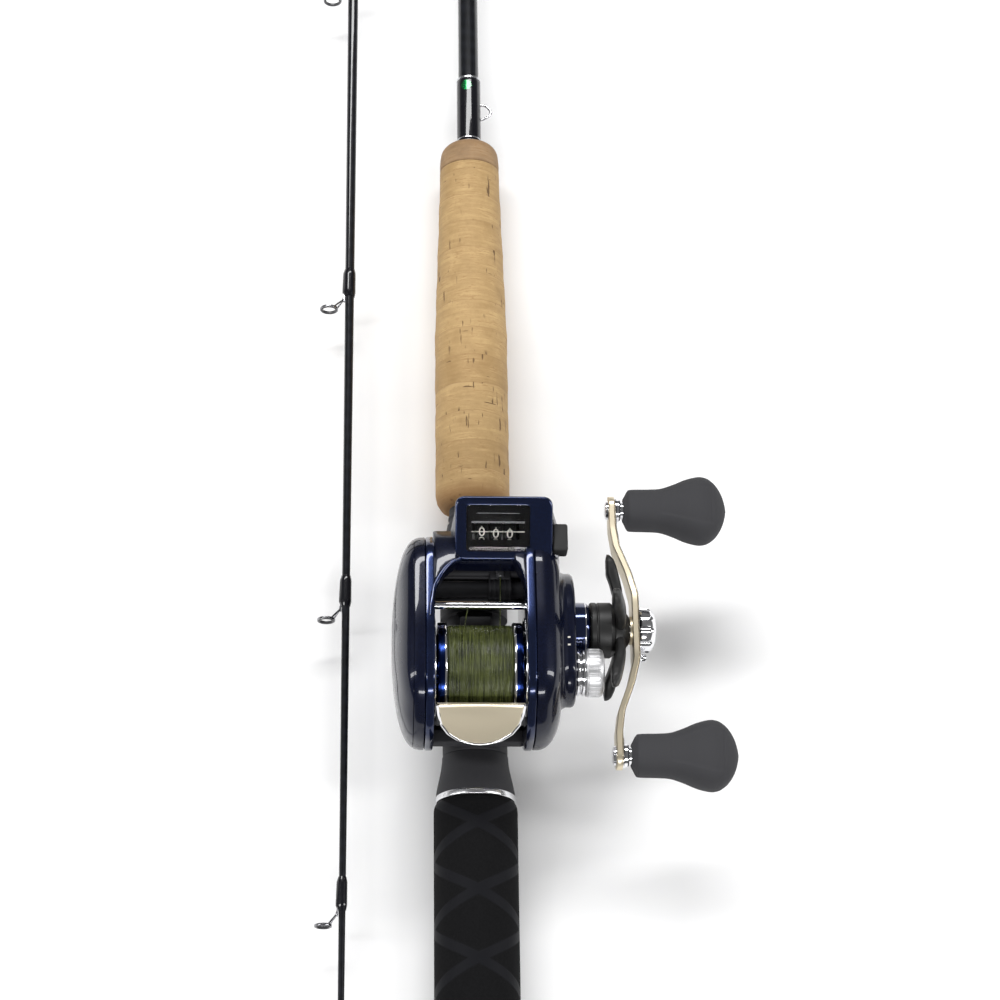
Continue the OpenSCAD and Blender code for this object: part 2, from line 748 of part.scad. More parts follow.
module digit_wheel(i) {
    x = wheel_x + i * wheel_pitch;
    color("#15161a") difference() {
        pin_x(x - wheel_w / 2, x + wheel_w / 2, wheel_r, wheel_y, wheel_z);
        pin_x(x - wheel_w, x + wheel_w, 0.8 + run_gap, wheel_y, wheel_z);
    }
}
module units_wheel() { digit_wheel(1); }
module tens_wheel() { digit_wheel(0); }
module hundreds_wheel() { digit_wheel(-1); }

button_x = counter_mid[0] + counter_w / 2 + 0.3;
button_y = counter_mid[1] - 2;
button_z = counter_mid[2] - 6.5;
module reset_button() {
    color("#141414") union() {
        translate([button_x, button_y - 5.4, button_z - 3.6]) cube([5.5, 10.8, 7.2]);
        pin_x(button_x - 5.4, button_x + 0.5, 2, button_y, button_z);
    }
}

// A short coil spring across the reel, drawn as touching turns
module coil_x(x0, x1, r, wire_r, y, z) {
    turns = floor((x1 - x0) / (wire_r * 1.7));
    step = (x1 - x0 - 2 * wire_r) / (turns - 1);
    for (i = [0 : turns - 1]) {
        translate([x0 + wire_r + i * step, y, z]) rotate([0, 90, 0])
            rotate_extrude($fn = 32) translate([r, 0]) circle(r = wire_r, $fn = 16);
    }
}

module reset_spring() {
    color("#b9bcc2") coil_x(button_x - 9.5, button_x - 5.5, 1.5, 0.35, button_y, button_z);
}

// ---------- spool ----------

module spool_bearings() {
    color("#d0d2d6") for (x = [-palm_x + cover_wall + 3.2, boss_x - cover_wall - 2.5]) {
        difference() {
            pin_x(x, x + 2.4, 4.8, spool_y, spool_h);
            pin_x(x - 1, x + 4, shaft_r + run_gap, spool_y, spool_h);
        }
    }
}

module spool_shaft() {
    color("#d0d2d6") pin_x(-palm_x + cover_wall + 3.4, boss_x + 7, shaft_r, spool_y, spool_h);
}

flange_t = 3.55;
spool_core_r = 9;
module spool() {
    w = line_pack_w / 2;
    r = flange_d / 2;
    color("#2b3f86") spin_x(spool_y, spool_h) polygon([
        [shaft_r + 0.01, -w - flange_t - 0.4], [5, -w - flange_t - 0.4], [5, -w - 1.4],
        [r - 3, -w - 1.4], [r - 1.6, -w - flange_t], [r, -w - flange_t], [r, -w - 0.6],
        [r - 0.8, -w], [spool_core_r, -w], [spool_core_r, w], [r - 0.8, w], [r, w + 0.6],
        [r, w + flange_t], [r - 1.6, w + flange_t], [r - 3, w + 1.4], [5, w + 1.4],
        [5, w + flange_t + 0.4], [shaft_r + 0.01, w + flange_t + 0.4]
    ]);
}

module fishing_line() {
    w = line_pack_w / 2 - 0.03;
    r = line_pack_d / 2;
    color("#6f7a3a") spin_x(spool_y, spool_h) polygon([
        [spool_core_r + 0.03, -w], [r - 0.6, -w], [r, -w + 1.5], [r, w - 1.5], [r - 0.6, w],
        [spool_core_r + 0.03, w]
    ]);
}

// Centrifugal brake on the palm side of the spool, six weights on a hub
module brake_rotor() {
    x = -half_w - 2.6;
    color("#3c4048") union() {
        difference() {
            pin_x(x, x + 2, 8, spool_y, spool_h);
            pin_x(x - 1, x + 5, shaft_r + 0.01, spool_y, spool_h);
        }
        for (i = [0 : 5]) {
            translate([x + 1, spool_y, spool_h]) rotate([i * 60, 0, 0]) {
                translate([0, 0, 7]) cylinder(h = 4, r = 0.5);
                translate([0, 0, 10.5]) cylinder(h = 3, r = 0.95);
            }
        }
    }
}

// ---------- gears ----------

function inv_deg(a) = tan(a) * 180 / PI - a;
function half_tooth(r, n) = let (base = gear_module * n / 2 * cos(pressure_angle))
    90 / n * (1 - backlash) + inv_deg(pressure_angle) - inv_deg(acos(min(1, base / r)));
function gear_outline(n) =
    let (rp = gear_module * n / 2, rows = [
        [rp - gear_module, -1], [rp - gear_module * 0.4, -1], [rp, -1], [rp + gear_module * 0.8, -1],
        [rp + gear_module * 0.8, 1], [rp, 1], [rp - gear_module * 0.4, 1], [rp - gear_module, 1]
    ])
    [for (i = [0 : n - 1], p = rows)
        let (a = 360 / n * i + p[1] * half_tooth(p[0], n)) p[0] * [cos(a), sin(a)]];

// Toothed disc from x0 to x1 about an axis across the reel, one tooth at the given angle
module gear_x_axis(n, x0, x1, y, z, angle, bore) {
    difference() {
        translate([0, y, z]) side_slab(x0, x1) rotate(angle) polygon(gear_outline(n));
        pin_x(x0 - 1, x1 + 1, bore, y, z);
    }
}

pinion_x = plate_x + 1.3;
drive_x = plate_x + 2.4;
drive_w = 3.4;
shift = 1.2;
module pinion_gear() {
    color("#c9a55a") union() {
        gear_x_axis(pinion_teeth, pinion_x, pinion_x + 5.6, spool_y, spool_h,
            crank_to_spool + 180 + 180 / pinion_teeth, shaft_r + run_gap);
        difference() {
            union() {
                pin_x(pinion_x + 5.5, pinion_x + 8.2, 2.35, spool_y, spool_h);
                pin_x(pinion_x + 7.5, pinion_x + 8.2, 3.3, spool_y, spool_h);
            }
            pin_x(pinion_x, pinion_x + 10, shaft_r + run_gap, spool_y, spool_h);
        }
    }
}

yoke_x = pinion_x + 6;
module at_posts() {
    for (s = [-1, 1]) {
        translate([0, spool_y, spool_h]) rotate([crank_to_spool, 0, 0]) translate([0, 0, s * post_arm])
            rotate([0, 90, 0]) children();
    }
}

module clutch_yoke() {
    color("#9fa3aa") difference() {
        translate([yoke_x, spool_y, spool_h]) rotate([crank_to_spool, 0, 0])
            translate([0, -3.2, -post_arm - 2]) cube([1.2, 6.4, 2 * post_arm + 4]);
        pin_x(yoke_x - 1, yoke_x + 3, 2.35 + run_gap, spool_y, spool_h);
        at_posts() translate([0, 0, yoke_x - 1]) cylinder(h = 3, r = post_r + slide_gap);
    }
}

module yoke_springs() {
    color("#b9bcc2") for (s = [-1, 1]) {
        a = crank_to_spool + 90;
        coil_x(yoke_x + 1.25, boss_x - cover_wall - 0.05, 1.45, 0.3,
            spool_y + s * post_arm * cos(a), spool_h + s * post_arm * sin(a));
    }
}

module drive_gear() {
    color("#c9a55a") difference() {
        gear_x_axis(drive_teeth, drive_x, drive_x + drive_w, crank_y, crank_z, crank_to_spool,
            drive_r + 0.01);
        pin_x(drive_x + 1.4, drive_x + drive_w + 1, 14, crank_y, crank_z);
    }
}

module drag_washers() {
    layers = 4;
    t = 0.7;
    color("#5d4a36") for (i = [0 : layers - 1]) {
        x = drive_x + 1.42 + i * (t + 0.02);
        difference() {
            pin_x(x, x + t, 13.6, crank_y, crank_z);
            pin_x(x - 1, x + 2, drive_r + run_gap, crank_y, crank_z);
        }
    }
}

module feed_gear() {
    color("#c9a55a") gear_x_axis(feed_teeth, plate_x + 0.5, plate_x + 1.8, crank_y, crank_z,
        crank_to_worm, drive_r + 0.01);
}

module worm_gear() {
    color("#e4e0d4") gear_x_axis(worm_teeth, plate_x + 0.5, plate_x + 1.8, worm_y, worm_z,
        crank_to_worm + 180 + 180 / worm_teeth, 1.5 + 0.01);
}

// ---------- level wind ----------

rail_r = 3.2;
rail_bore = 2.4;
module levelwind_rails() {
    color("#17181b") difference() {
        pin_x(-half_w + 0.05, half_w - 0.05, rail_r, worm_y, worm_z);
        pin_x(-half_w - 1, half_w + 1, rail_bore, worm_y, worm_z);
        translate([-half_w + 3.4, worm_y - 1, worm_z - 6]) cube([frame_w - 6.8, 2, 6]);
    }
    color("#17181b") pin_x(-half_w + 0.05, half_w - 0.05, 1.6, worm_y + 6.2, worm_z + 1.6);
}

module levelwind_worm() {
    color("#b9bcc2") union() {
        pin_x(-plate_x + 0.2, plate_x + 0.2, 2, worm_y, worm_z);
        pin_x(plate_x, plate_x + 1.9, 1.5, worm_y, worm_z);
    }
}

guide_x = 8.2;
guide_w = 8.6;
module line_guide() {
    x0 = guide_x - guide_w / 2;
    x1 = guide_x + guide_w / 2;
    eye_z = worm_z + 4.2;
    color("#2a2b2f") difference() {
        union() {
            pin_x(x0, x1, rail_r + 1.3, worm_y, worm_z);
            translate([x0, worm_y, worm_z - 1.6]) cube([guide_w, 9.6, 6.4]);
            for (i = [0 : 4]) {
                pin_x(x0 + 0.4 + i * 1.8, x0 + 1 + i * 1.8, rail_r + 1.7, worm_y, worm_z);
            }
            translate([guide_x - 1.6, worm_y - 1.4, worm_z - rail_r - 2.4]) cube([3.2, 2.8, 2]);
        }
        pin_x(x0 - 1, x1 + 1, rail_r + slide_gap, worm_y, worm_z);
        pin_x(x0 - 1, x1 + 1, 1.6 + 0.15, worm_y + 6.2, worm_z + 1.6);
        translate([guide_x, 0, eye_z + 3.3]) pin_y(worm_y - 12, worm_y + 14, 1.3);
        translate([guide_x - 1.6, worm_y - 6, eye_z + 1.6]) cube([3.2, 20, 4]);
    }
}

// ---------- thumb bar ----------

module thumb_bar() {
    w = half_w - 0.7;
    color("#cfc3a6") union() {
        translate([0, spool_y + bar_top[0], spool_h + bar_top[1]])
            rotate([bar_slope, 0, 0]) translate([0, 0, -bar_t])
            linear_extrude(bar_t) polygon([
                [-w, 0], [-w * 0.97, -4], [-w * 0.88, -9], [-w * 0.7, -13.4], [-w * 0.42, -16.8],
                [-w * 0.14, -bar_len], [w * 0.14, -bar_len], [w * 0.42, -16.8],
                [w * 0.7, -13.4], [w * 0.88, -9], [w * 0.97, -4], [w, 0]
            ]);
        for (s = [-1, 1]) {
            side_slab(s < 0 ? -w : w - 1.6, s < 0 ? -w + 1.6 : w) place_side() polygon([
                [-18, 15], [-16.6, 14], [-19, 8.6], [-20, 6], [-22.6, 5.4], [-22.6, 8.4]
            ]);
            pin_x(s < 0 ? -plate_x + 0.6 : w - 0.1, s < 0 ? -w + 0.1 : plate_x - 0.6, bar_pin_r,
                spool_y + bar_pin[0], spool_h + bar_pin[1]);
        }
    }
}

// ---------- crank, drag and knobs ----------

module anti_reverse_bearing() {
    color("#d0d2d6") difference() {
        pin_x(boss_x - cover_wall - 3.7, boss_x - cover_wall, 6.8, crank_y, crank_z);
        pin_x(boss_x - cover_wall - 5, boss_x, drive_r + run_gap, crank_y, crank_z);
    }
}

module drive_shaft() {
    color("#b9bcc2") union() {
        pin_x(half_w + 0.2, arm_x - 0.02, drive_r, crank_y, crank_z);
        pin_x(arm_x - 0.1, nut_x + 1.6, 2.4, crank_y, crank_z);
    }
}

module bearing_collar() {
    color("#2b3f86") spin_x(crank_y, crank_z) polygon([
        [drive_r + free_gap, collar_x], [10.6, collar_x], [10.6, collar_x + collar_w - 1],
        [9.8, collar_x + collar_w], [drive_r + free_gap, collar_x + collar_w]
    ]);
}

module star_hub() {
    color("#1c1c1e") spin_x(crank_y, crank_z) polygon([
        [drive_r + run_gap, drum_x], [10.2, drum_x], [10.6, drum_x + 0.6],
        [10.6, drum_x + drum_w - 1.2], [9.4, drum_x + drum_w - 0.02],
        [drive_r + run_gap, drum_x + drum_w - 0.02]
    ]);
}

star_arms = 5;
module star_drag() {
    tip = star_d / 2;
    color("#1c1c1e") difference() {
        union() {
            spin_x(crank_y, crank_z) polygon([
                [0, star_x], [8.6, star_x], [8, star_x + 3.4], [5.4, star_x + star_w], [0, star_x + star_w]
            ]);
            for (i = [0 : star_arms - 1]) {
                translate([star_x, crank_y, crank_z]) rotate([9 + i * 360 / star_arms, 0, 0])
                    intersection() {
                        translate([0, 0, -10]) linear_extrude(20) polygon([
                            [0.3, 4.6], [3.9, 4.6], [3.9, 12], [3.4, 16], [2.2, 20], [1, tip - 5],
                            [-0.2, tip - 0.8], [-1.4, tip], [-2.6, tip - 2], [-2.6, tip - 8],
                            [-1, 18], [0.3, 14]
                        ]);
                        rotate([90, 0, 90]) translate([0, 0, -5]) linear_extrude(12) polygon([
                            [5, -4.2], [10, -3.8], [18, -3.2], [tip - 5, -3.4], [tip - 1, -2.4],
                            [tip + 1, 0], [tip - 1, 2.4], [tip - 5, 3.4], [18, 3.2], [10, 3.8], [5, 4.2]
                        ]);
                    }
            }
        }
        pin_x(star_x - 1, star_x + star_w + 1, drive_r + run_gap, crank_y, crank_z);
    }
}

module handle_arm() {
    e = crank_span / 2;
    color("#cfc3a6") difference() {
        union() {
            intersection() {
                translate([0, 0, crank_z - arm_w]) linear_extrude(2 * arm_w)
                    translate([arm_x, crank_y]) polygon([
                        [0, -13], [0, 13], [-arm_set * 0.35, 22], [-arm_set * 0.85, e - 16],
                        [-arm_set, e - 8], [-arm_set, e + 6], [arm_t - arm_set, e + 6],
                        [arm_t - arm_set, e - 8], [arm_t - arm_set * 0.85, e - 15],
                        [arm_t - arm_set * 0.35, 23], [arm_t, 14], [arm_t, -14],
                        [arm_t - arm_set * 0.35, -23], [arm_t - arm_set * 0.85, 15 - e],
                        [arm_t - arm_set, 8 - e], [arm_t - arm_set, -e - 6], [-arm_set, -e - 6],
                        [-arm_set, 8 - e], [-arm_set * 0.85, 16 - e], [-arm_set * 0.35, -22]
                    ]);
                side_slab(arm_x - arm_set - 1, arm_x + arm_t + 1) translate([crank_y, crank_z])
                    polygon(rounded([
                        [-e - 5.5, -4.6], [-e + 8, -4.8], [-12, -arm_w / 2], [12, -arm_w / 2],
                        [e - 8, -4.8], [e + 5.5, -4.6], [e + 5.5, 4.6], [e - 8, 4.8],
                        [12, arm_w / 2], [-12, arm_w / 2], [-e + 8, 4.8], [-e - 5.5, 4.6]
                    ], 3.4, 4));
            }
            pin_x(arm_x - arm_gap + 0.3, arm_x + 0.2, 5.4, crank_y, crank_z);
        }
        pin_x(arm_x - 3, arm_x, drive_r + 0.01, crank_y, crank_z);
        pin_x(arm_x - 1, nut_x + 1, 2.41, crank_y, crank_z);
        for (s = [-1, 1]) {
            pin_x(post_x - 1, post_x + arm_t + 1, 2.21, crank_y + s * e, crank_z);
        }
    }
}

module handle_nut() {
    lobes = 10;
    nut_r = 8.5;
    color("#e6e6ea") difference() {
        spin_x(crank_y, crank_z) polygon([
            [0, nut_x + 0.02], [nut_r, nut_x + 0.02], [nut_r, nut_x + 3.6], [nut_r - 1.6, nut_x + 5.4],
            [nut_r - 3.6, nut_x + 6.4], [0, nut_x + 6.4]
        ]);
        pin_x(nut_x - 1, nut_x + 1.7, 2.42, crank_y, crank_z);
        for (i = [0 : lobes - 1]) {
            a = i * 360 / lobes;
            pin_x(nut_x - 1, nut_x + 9, 1.5, crank_y + (nut_r + 0.7) * cos(a),
                crank_z + (nut_r + 0.7) * sin(a));
        }
    }
    color("#e6e6ea") pin_x(nut_x + 0.02, nut_x + 2.6, 1.7, crank_y - nut_r - 2.6, crank_z);
}

module knob_posts() {
    for (s = [-1, 1]) {
        color("#d0d2d6") spin_x(crank_y + s * crank_span / 2, crank_z) polygon([
            [0, post_x - 1.3], [3.4, post_x - 1], [3.8, post_x - 0.02], [2.2, post_x - 0.02],
            [2.2, post_x + arm_t + 0.02], [4.6, post_x + arm_t + 0.02], [4.6, post_x + arm_t + 1.4],
            [3.4, post_x + arm_t + 1.8], [3.4, knob_x - 0.3], [2.2, knob_x - 0.3],
            [2.2, knob_x + knob_l - 8], [0, knob_x + knob_l - 8]
        ]);
    }
}

module grip_knob(s) {
    r = knob_d / 2;
    bore = 2.2 + run_gap;
    color("#232427") spin_x(crank_y + s * crank_span / 2, crank_z) polygon([
        [bore, knob_x - 0.2], [5.6, knob_x - 0.2], [7.2, knob_x + 2], [8, knob_x + 4.4],
        [8.3, knob_x + knob_l * 0.28], [9, knob_x + knob_l * 0.42],
        [10.9, knob_x + knob_l * 0.55], [r - 0.5, knob_x + knob_l * 0.68],
        [r, knob_x + knob_l * 0.77], [r - 0.8, knob_x + knob_l * 0.87],
        [r - 3.2, knob_x + knob_l * 0.94], [r - 7, knob_x + knob_l * 0.985],
        [0, knob_x + knob_l], [0, knob_x + knob_l - 7.7], [bore, knob_x + knob_l - 7.7]
    ]);
}
module knob_front() { grip_knob(1); }
module knob_rear() { grip_knob(-1); }

module tension_knob() {
    x = boss_x + 0.2;
    ribs = 24;
    color("#c9ccd2") difference() {
        spin_x(spool_y, spool_h) polygon([
            [5 + run_gap, x], [8.2, x], [8.6, x + 0.9], [8.2, x + 1.7], [7.6, x + 1.8],
            [7.6, x + 2], [8.2, x + 2.1], [8.6, x + 2.9], [8.2, x + 3.7], [7.6, x + 3.8],
            [7.6, x + 4], [9.3, x + 4.1], [9.3, x + 9.6], [8.4, x + 10.6], [0, x + 10.6],
            [0, x + 7.4], [shaft_r + free_gap, x + 7.4], [shaft_r + free_gap, x + 4.9],
            [5 + run_gap, x + 4.9]
        ]);
        for (i = [0 : ribs - 1]) {
            a = i * 360 / ribs;
            pin_x(x + 4.6, x + 9.2, 0.45, spool_y + 9.5 * cos(a), spool_h + 9.5 * sin(a), $fn = 16);
        }
    }
}

butt_blank();
butt_cap();
rear_grip();
trim_rings();
reel_seat();
fixed_hood();
sliding_hood();
lock_nut();
foregrip();
foregrip_cap();
butt_wraps();
hook_keeper();
butt_guide_frames();
butt_guide_rings();
tip_blank();
tip_guide_frames();
tip_guide_rings();
tip_wraps();
tip_top();
reel_frame();
reel_foot();
reel_screws();
palm_side_cover();
gear_side_cover();
counter_housing();
counter_window();
counter_axle();
units_wheel();
tens_wheel();
hundreds_wheel();
reset_button();
reset_spring();
guard_bar();
spool_bearings();
spool_shaft();
spool();
fishing_line();
brake_rotor();
pinion_gear();
clutch_yoke();
yoke_springs();
thumb_bar();
levelwind_rails();
levelwind_worm();
worm_gear();
line_guide();
anti_reverse_bearing();
drive_shaft();
drive_gear();
feed_gear();
drag_washers();
bearing_collar();
star_drag();
star_hub();
handle_arm();
handle_nut();
knob_posts();
knob_front();
knob_rear();
tension_knob();
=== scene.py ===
"""Looks of a two-piece casting rod and its line-counter reel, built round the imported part."""

import json
import logging
from dataclasses import dataclass, field
from enum import Enum
from math import asin, atan2, copysign, cos, exp, pi, radians, sin, sqrt
from typing import Any, Callable, Optional, Sequence

import bmesh
import bpy
from mathutils import Matrix, Vector


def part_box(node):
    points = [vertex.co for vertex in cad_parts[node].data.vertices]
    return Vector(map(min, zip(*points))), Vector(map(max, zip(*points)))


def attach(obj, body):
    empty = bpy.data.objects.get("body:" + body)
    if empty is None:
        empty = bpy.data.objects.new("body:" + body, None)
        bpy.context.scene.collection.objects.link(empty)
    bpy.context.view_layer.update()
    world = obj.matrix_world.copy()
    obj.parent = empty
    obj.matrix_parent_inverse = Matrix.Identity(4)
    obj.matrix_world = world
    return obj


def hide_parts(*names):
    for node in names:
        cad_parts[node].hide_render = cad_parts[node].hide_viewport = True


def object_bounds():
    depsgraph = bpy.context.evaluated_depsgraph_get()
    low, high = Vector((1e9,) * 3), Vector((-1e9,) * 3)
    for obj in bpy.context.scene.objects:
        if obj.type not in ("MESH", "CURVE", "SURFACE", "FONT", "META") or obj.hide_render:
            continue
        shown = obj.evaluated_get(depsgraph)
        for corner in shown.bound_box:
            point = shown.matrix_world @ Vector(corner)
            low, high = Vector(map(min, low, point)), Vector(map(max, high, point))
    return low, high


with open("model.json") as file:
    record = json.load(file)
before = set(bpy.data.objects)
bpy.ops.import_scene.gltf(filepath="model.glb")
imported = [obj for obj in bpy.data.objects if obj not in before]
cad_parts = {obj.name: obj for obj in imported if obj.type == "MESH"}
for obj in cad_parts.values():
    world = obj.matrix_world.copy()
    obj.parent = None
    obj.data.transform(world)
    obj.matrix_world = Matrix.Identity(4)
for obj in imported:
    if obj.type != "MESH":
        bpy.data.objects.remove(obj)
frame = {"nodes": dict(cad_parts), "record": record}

log = logging.getLogger("rod_and_reel")

CAD_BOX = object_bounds()
MM = 0.001
Point = tuple[float, float, float]
Pair = tuple[float, float]
Colour = tuple[float, float, float]
Node = bpy.types.Node
Socket = bpy.types.NodeSocket
Tree = bpy.types.NodeTree
Piece = bpy.types.Object


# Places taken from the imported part


class Axis(Enum):
    """Direction that a turned piece is turned about."""

    ROD = 1
    ACROSS = 0


@dataclass(frozen=True)
class Span:
    """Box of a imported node, in millimetres."""

    lo: Vector
    hi: Vector

    @property
    def mid(self) -> Vector:
        """Middle of the box."""
        return (self.lo + self.hi) / 2


def span(node: str) -> Span:
    """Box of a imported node, in millimetres.

    Args:
        node: name of the node.

    Returns:
        Its lowest and highest corners.
    """
    lo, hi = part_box(node)
    return Span(lo / MM, hi / MM)


def pivot(joint: str) -> Pair:
    """Place of a joint's axis in the rod's plane, as (forward, up) in millimetres.

    Args:
        joint: name of the joint in the record.

    Returns:
        The y and z of the point that its axis passes through.
    """
    found = next(j for j in frame["record"]["behaviour"]["joints"] if j["name"] == joint)
    return found["pos_m"][1] / MM, found["pos_m"][2] / MM


# Node helpers


class Graph:
    """Places and joins nodes in a shader or geometry tree."""

    def __init__(self, tree: Tree) -> None:
        """Keep the tree to build in."""
        self.tree = tree

    def add(self, kind: str, inputs: Optional[dict[Any, Any]] = None, **settings: Any) -> Node:
        """Place one node.

        Args:
            kind: Blender's name of the node type.
            inputs: values or sockets for its inputs, by name or number.
            **settings: properties of the node itself.

        Returns:
            The node.
        """
        made = self.tree.nodes.new(kind)
        for key, value in settings.items():
            setattr(made, key, value)
        for key, value in (inputs or {}).items():
            if isinstance(value, Socket):
                self.tree.links.new(value, made.inputs[key])
            else:
                made.inputs[key].default_value = value
        return made

    def link(self, source: Socket, target: Socket) -> None:
        """Join two sockets."""
        self.tree.links.new(source, target)

    def maths(self, operation: str, a: Any, b: Any = 0.0, c: Any = 0.0) -> Socket:
        """Result of one Math node on values or sockets."""
        return self.add("ShaderNodeMath", {0: a, 1: b, 2: c}, operation=operation).outputs[0]

    def times(self, a: Any, b: Any) -> Socket:
        """Product of two values or sockets."""
        return self.maths("MULTIPLY", a, b)

    def plus(self, a: Any, b: Any) -> Socket:
        """Sum of two values or sockets."""
        return self.maths("ADD", a, b)

    def minus(self, a: Any, b: Any) -> Socket:
        """Difference of two values or sockets."""
        return self.maths("SUBTRACT", a, b)

    def ramp(self, value: Any, low: float, high: float, out_low: float = 0.0,
            out_high: float = 1.0) -> Socket:
        """Value carried smoothly from one range to another."""
        return self.add("ShaderNodeMapRange", {0: value, 1: low, 2: high, 3: out_low, 4: out_high},
                interpolation_type="SMOOTHSTEP").outputs[0]

    def mix(self, factor: Any, a: Any, b: Any) -> Socket:
        """Colour between a and b."""
        made = self.add("ShaderNodeMix", data_type="RGBA")
        for index, value in ((0, factor), (6, a), (7, b)):
            if isinstance(value, Socket):
                self.tree.links.new(value, made.inputs[index])
            else:
                made.inputs[index].default_value = (*value, 1.0) if index > 0 and len(value) == 3 else value
        return made.outputs[2]

    def noise(self, where: Any, scale: float, detail: float = 2.0, rough: float = 0.5) -> Socket:
        """Noise value at a place."""
        return self.add("ShaderNodeTexNoise", {"Vector": where, "Scale": scale, "Detail": detail,
                "Roughness": rough}).outputs[0]

    def stretch(self, where: Any, scale: Point) -> Socket:
        """Place with each axis scaled."""
        return self.add("ShaderNodeMapping", {0: where, 3: scale}).outputs[0]


def shader_group(name: str, inputs: dict[str, float], outputs: dict[str, str],
        build: Callable[[Graph, Node, Node], None]) -> Tree:
    """Build a shared effect once.

    Args:
        name: name of the group.
        inputs: its number inputs and their usual values.
        outputs: its outputs and their socket types.
        build: fills the group between its input and output nodes.

    Returns:
        The node group.
    """
    tree = bpy.data.node_groups.new(name, "ShaderNodeTree")
    for key, value in inputs.items():
        tree.interface.new_socket(key, in_out="INPUT", socket_type="NodeSocketFloat").default_value = value
    for key, kind in outputs.items():
        tree.interface.new_socket(key, in_out="OUTPUT", socket_type=kind)
    graph = Graph(tree)
    build(graph, graph.add("NodeGroupInput"), graph.add("NodeGroupOutput"))
    return tree


def _fill_handling(graph: Graph, given: Node, out: Node) -> None:
    """Smudges and fine rubbing that change how a surface shines."""
    where = graph.add("ShaderNodeTexCoord").outputs["Object"]
    smudge = graph.ramp(graph.noise(where, 70.0, 4.0, 0.6), 0.35, 0.7)
    rub = graph.noise(graph.stretch(where, (900.0, 120.0, 900.0)), 1.0, 3.0, 0.7)
    both = graph.plus(graph.times(smudge, 0.65), graph.times(rub, 0.35))
    shift = graph.times(graph.minus(both, 0.5), given.outputs["Spread"])
    graph.link(graph.plus(given.outputs["Roughness"], shift), out.inputs["Roughness"])
    graph.link(rub, out.inputs["Height"])


def _fill_grain(graph: Graph, given: Node, out: Node) -> None:
    """Fine moulded or foamed grain."""
    where = graph.add("ShaderNodeTexCoord").outputs["Object"]
    scaled = graph.add("ShaderNodeVectorMath", {0: where, 3: given.outputs["Scale"]},
            operation="SCALE").outputs[0]
    cell = graph.add("ShaderNodeTexVoronoi", {"Vector": scaled, "Scale": 1.0}).outputs["Distance"]
    soft = graph.noise(scaled, 0.6, 3.0, 0.6)
    height = graph.plus(graph.times(cell, 0.5), graph.times(soft, 0.5))
    graph.link(height, out.inputs["Height"])
    graph.link(graph.ramp(soft, 0.3, 0.7), out.inputs["Mask"])


def _fill_turns(graph: Graph, given: Node, out: Node) -> None:
    """Turns of thread laid side by side round the rod."""
    where = graph.add("ShaderNodeTexCoord").outputs["Object"]
    along = graph.add("ShaderNodeSeparateXYZ", {0: where}).outputs[1]
    phase = graph.times(along, given.outputs["Turns per metre"])
    wave = graph.maths("ABSOLUTE", graph.maths("SINE", graph.times(phase, pi)))
    graph.link(wave, out.inputs["Height"])
    shade = graph.noise(graph.stretch(where, (60.0, 2600.0, 60.0)), 1.0, 1.0)
    graph.link(shade, out.inputs["Mask"])


HANDLING = shader_group("handling_marks", {"Roughness": 0.3, "Spread": 0.1},
        {"Roughness": "NodeSocketFloat", "Height": "NodeSocketFloat"}, _fill_handling)
GRAIN = shader_group("fine_grain", {"Scale": 1500.0}, {"Height": "NodeSocketFloat",
        "Mask": "NodeSocketFloat"}, _fill_grain)
TURNS = shader_group("thread_turns", {"Turns per metre": 3200.0},
        {"Height": "NodeSocketFloat", "Mask": "NodeSocketFloat"}, _fill_turns)


# Finishes


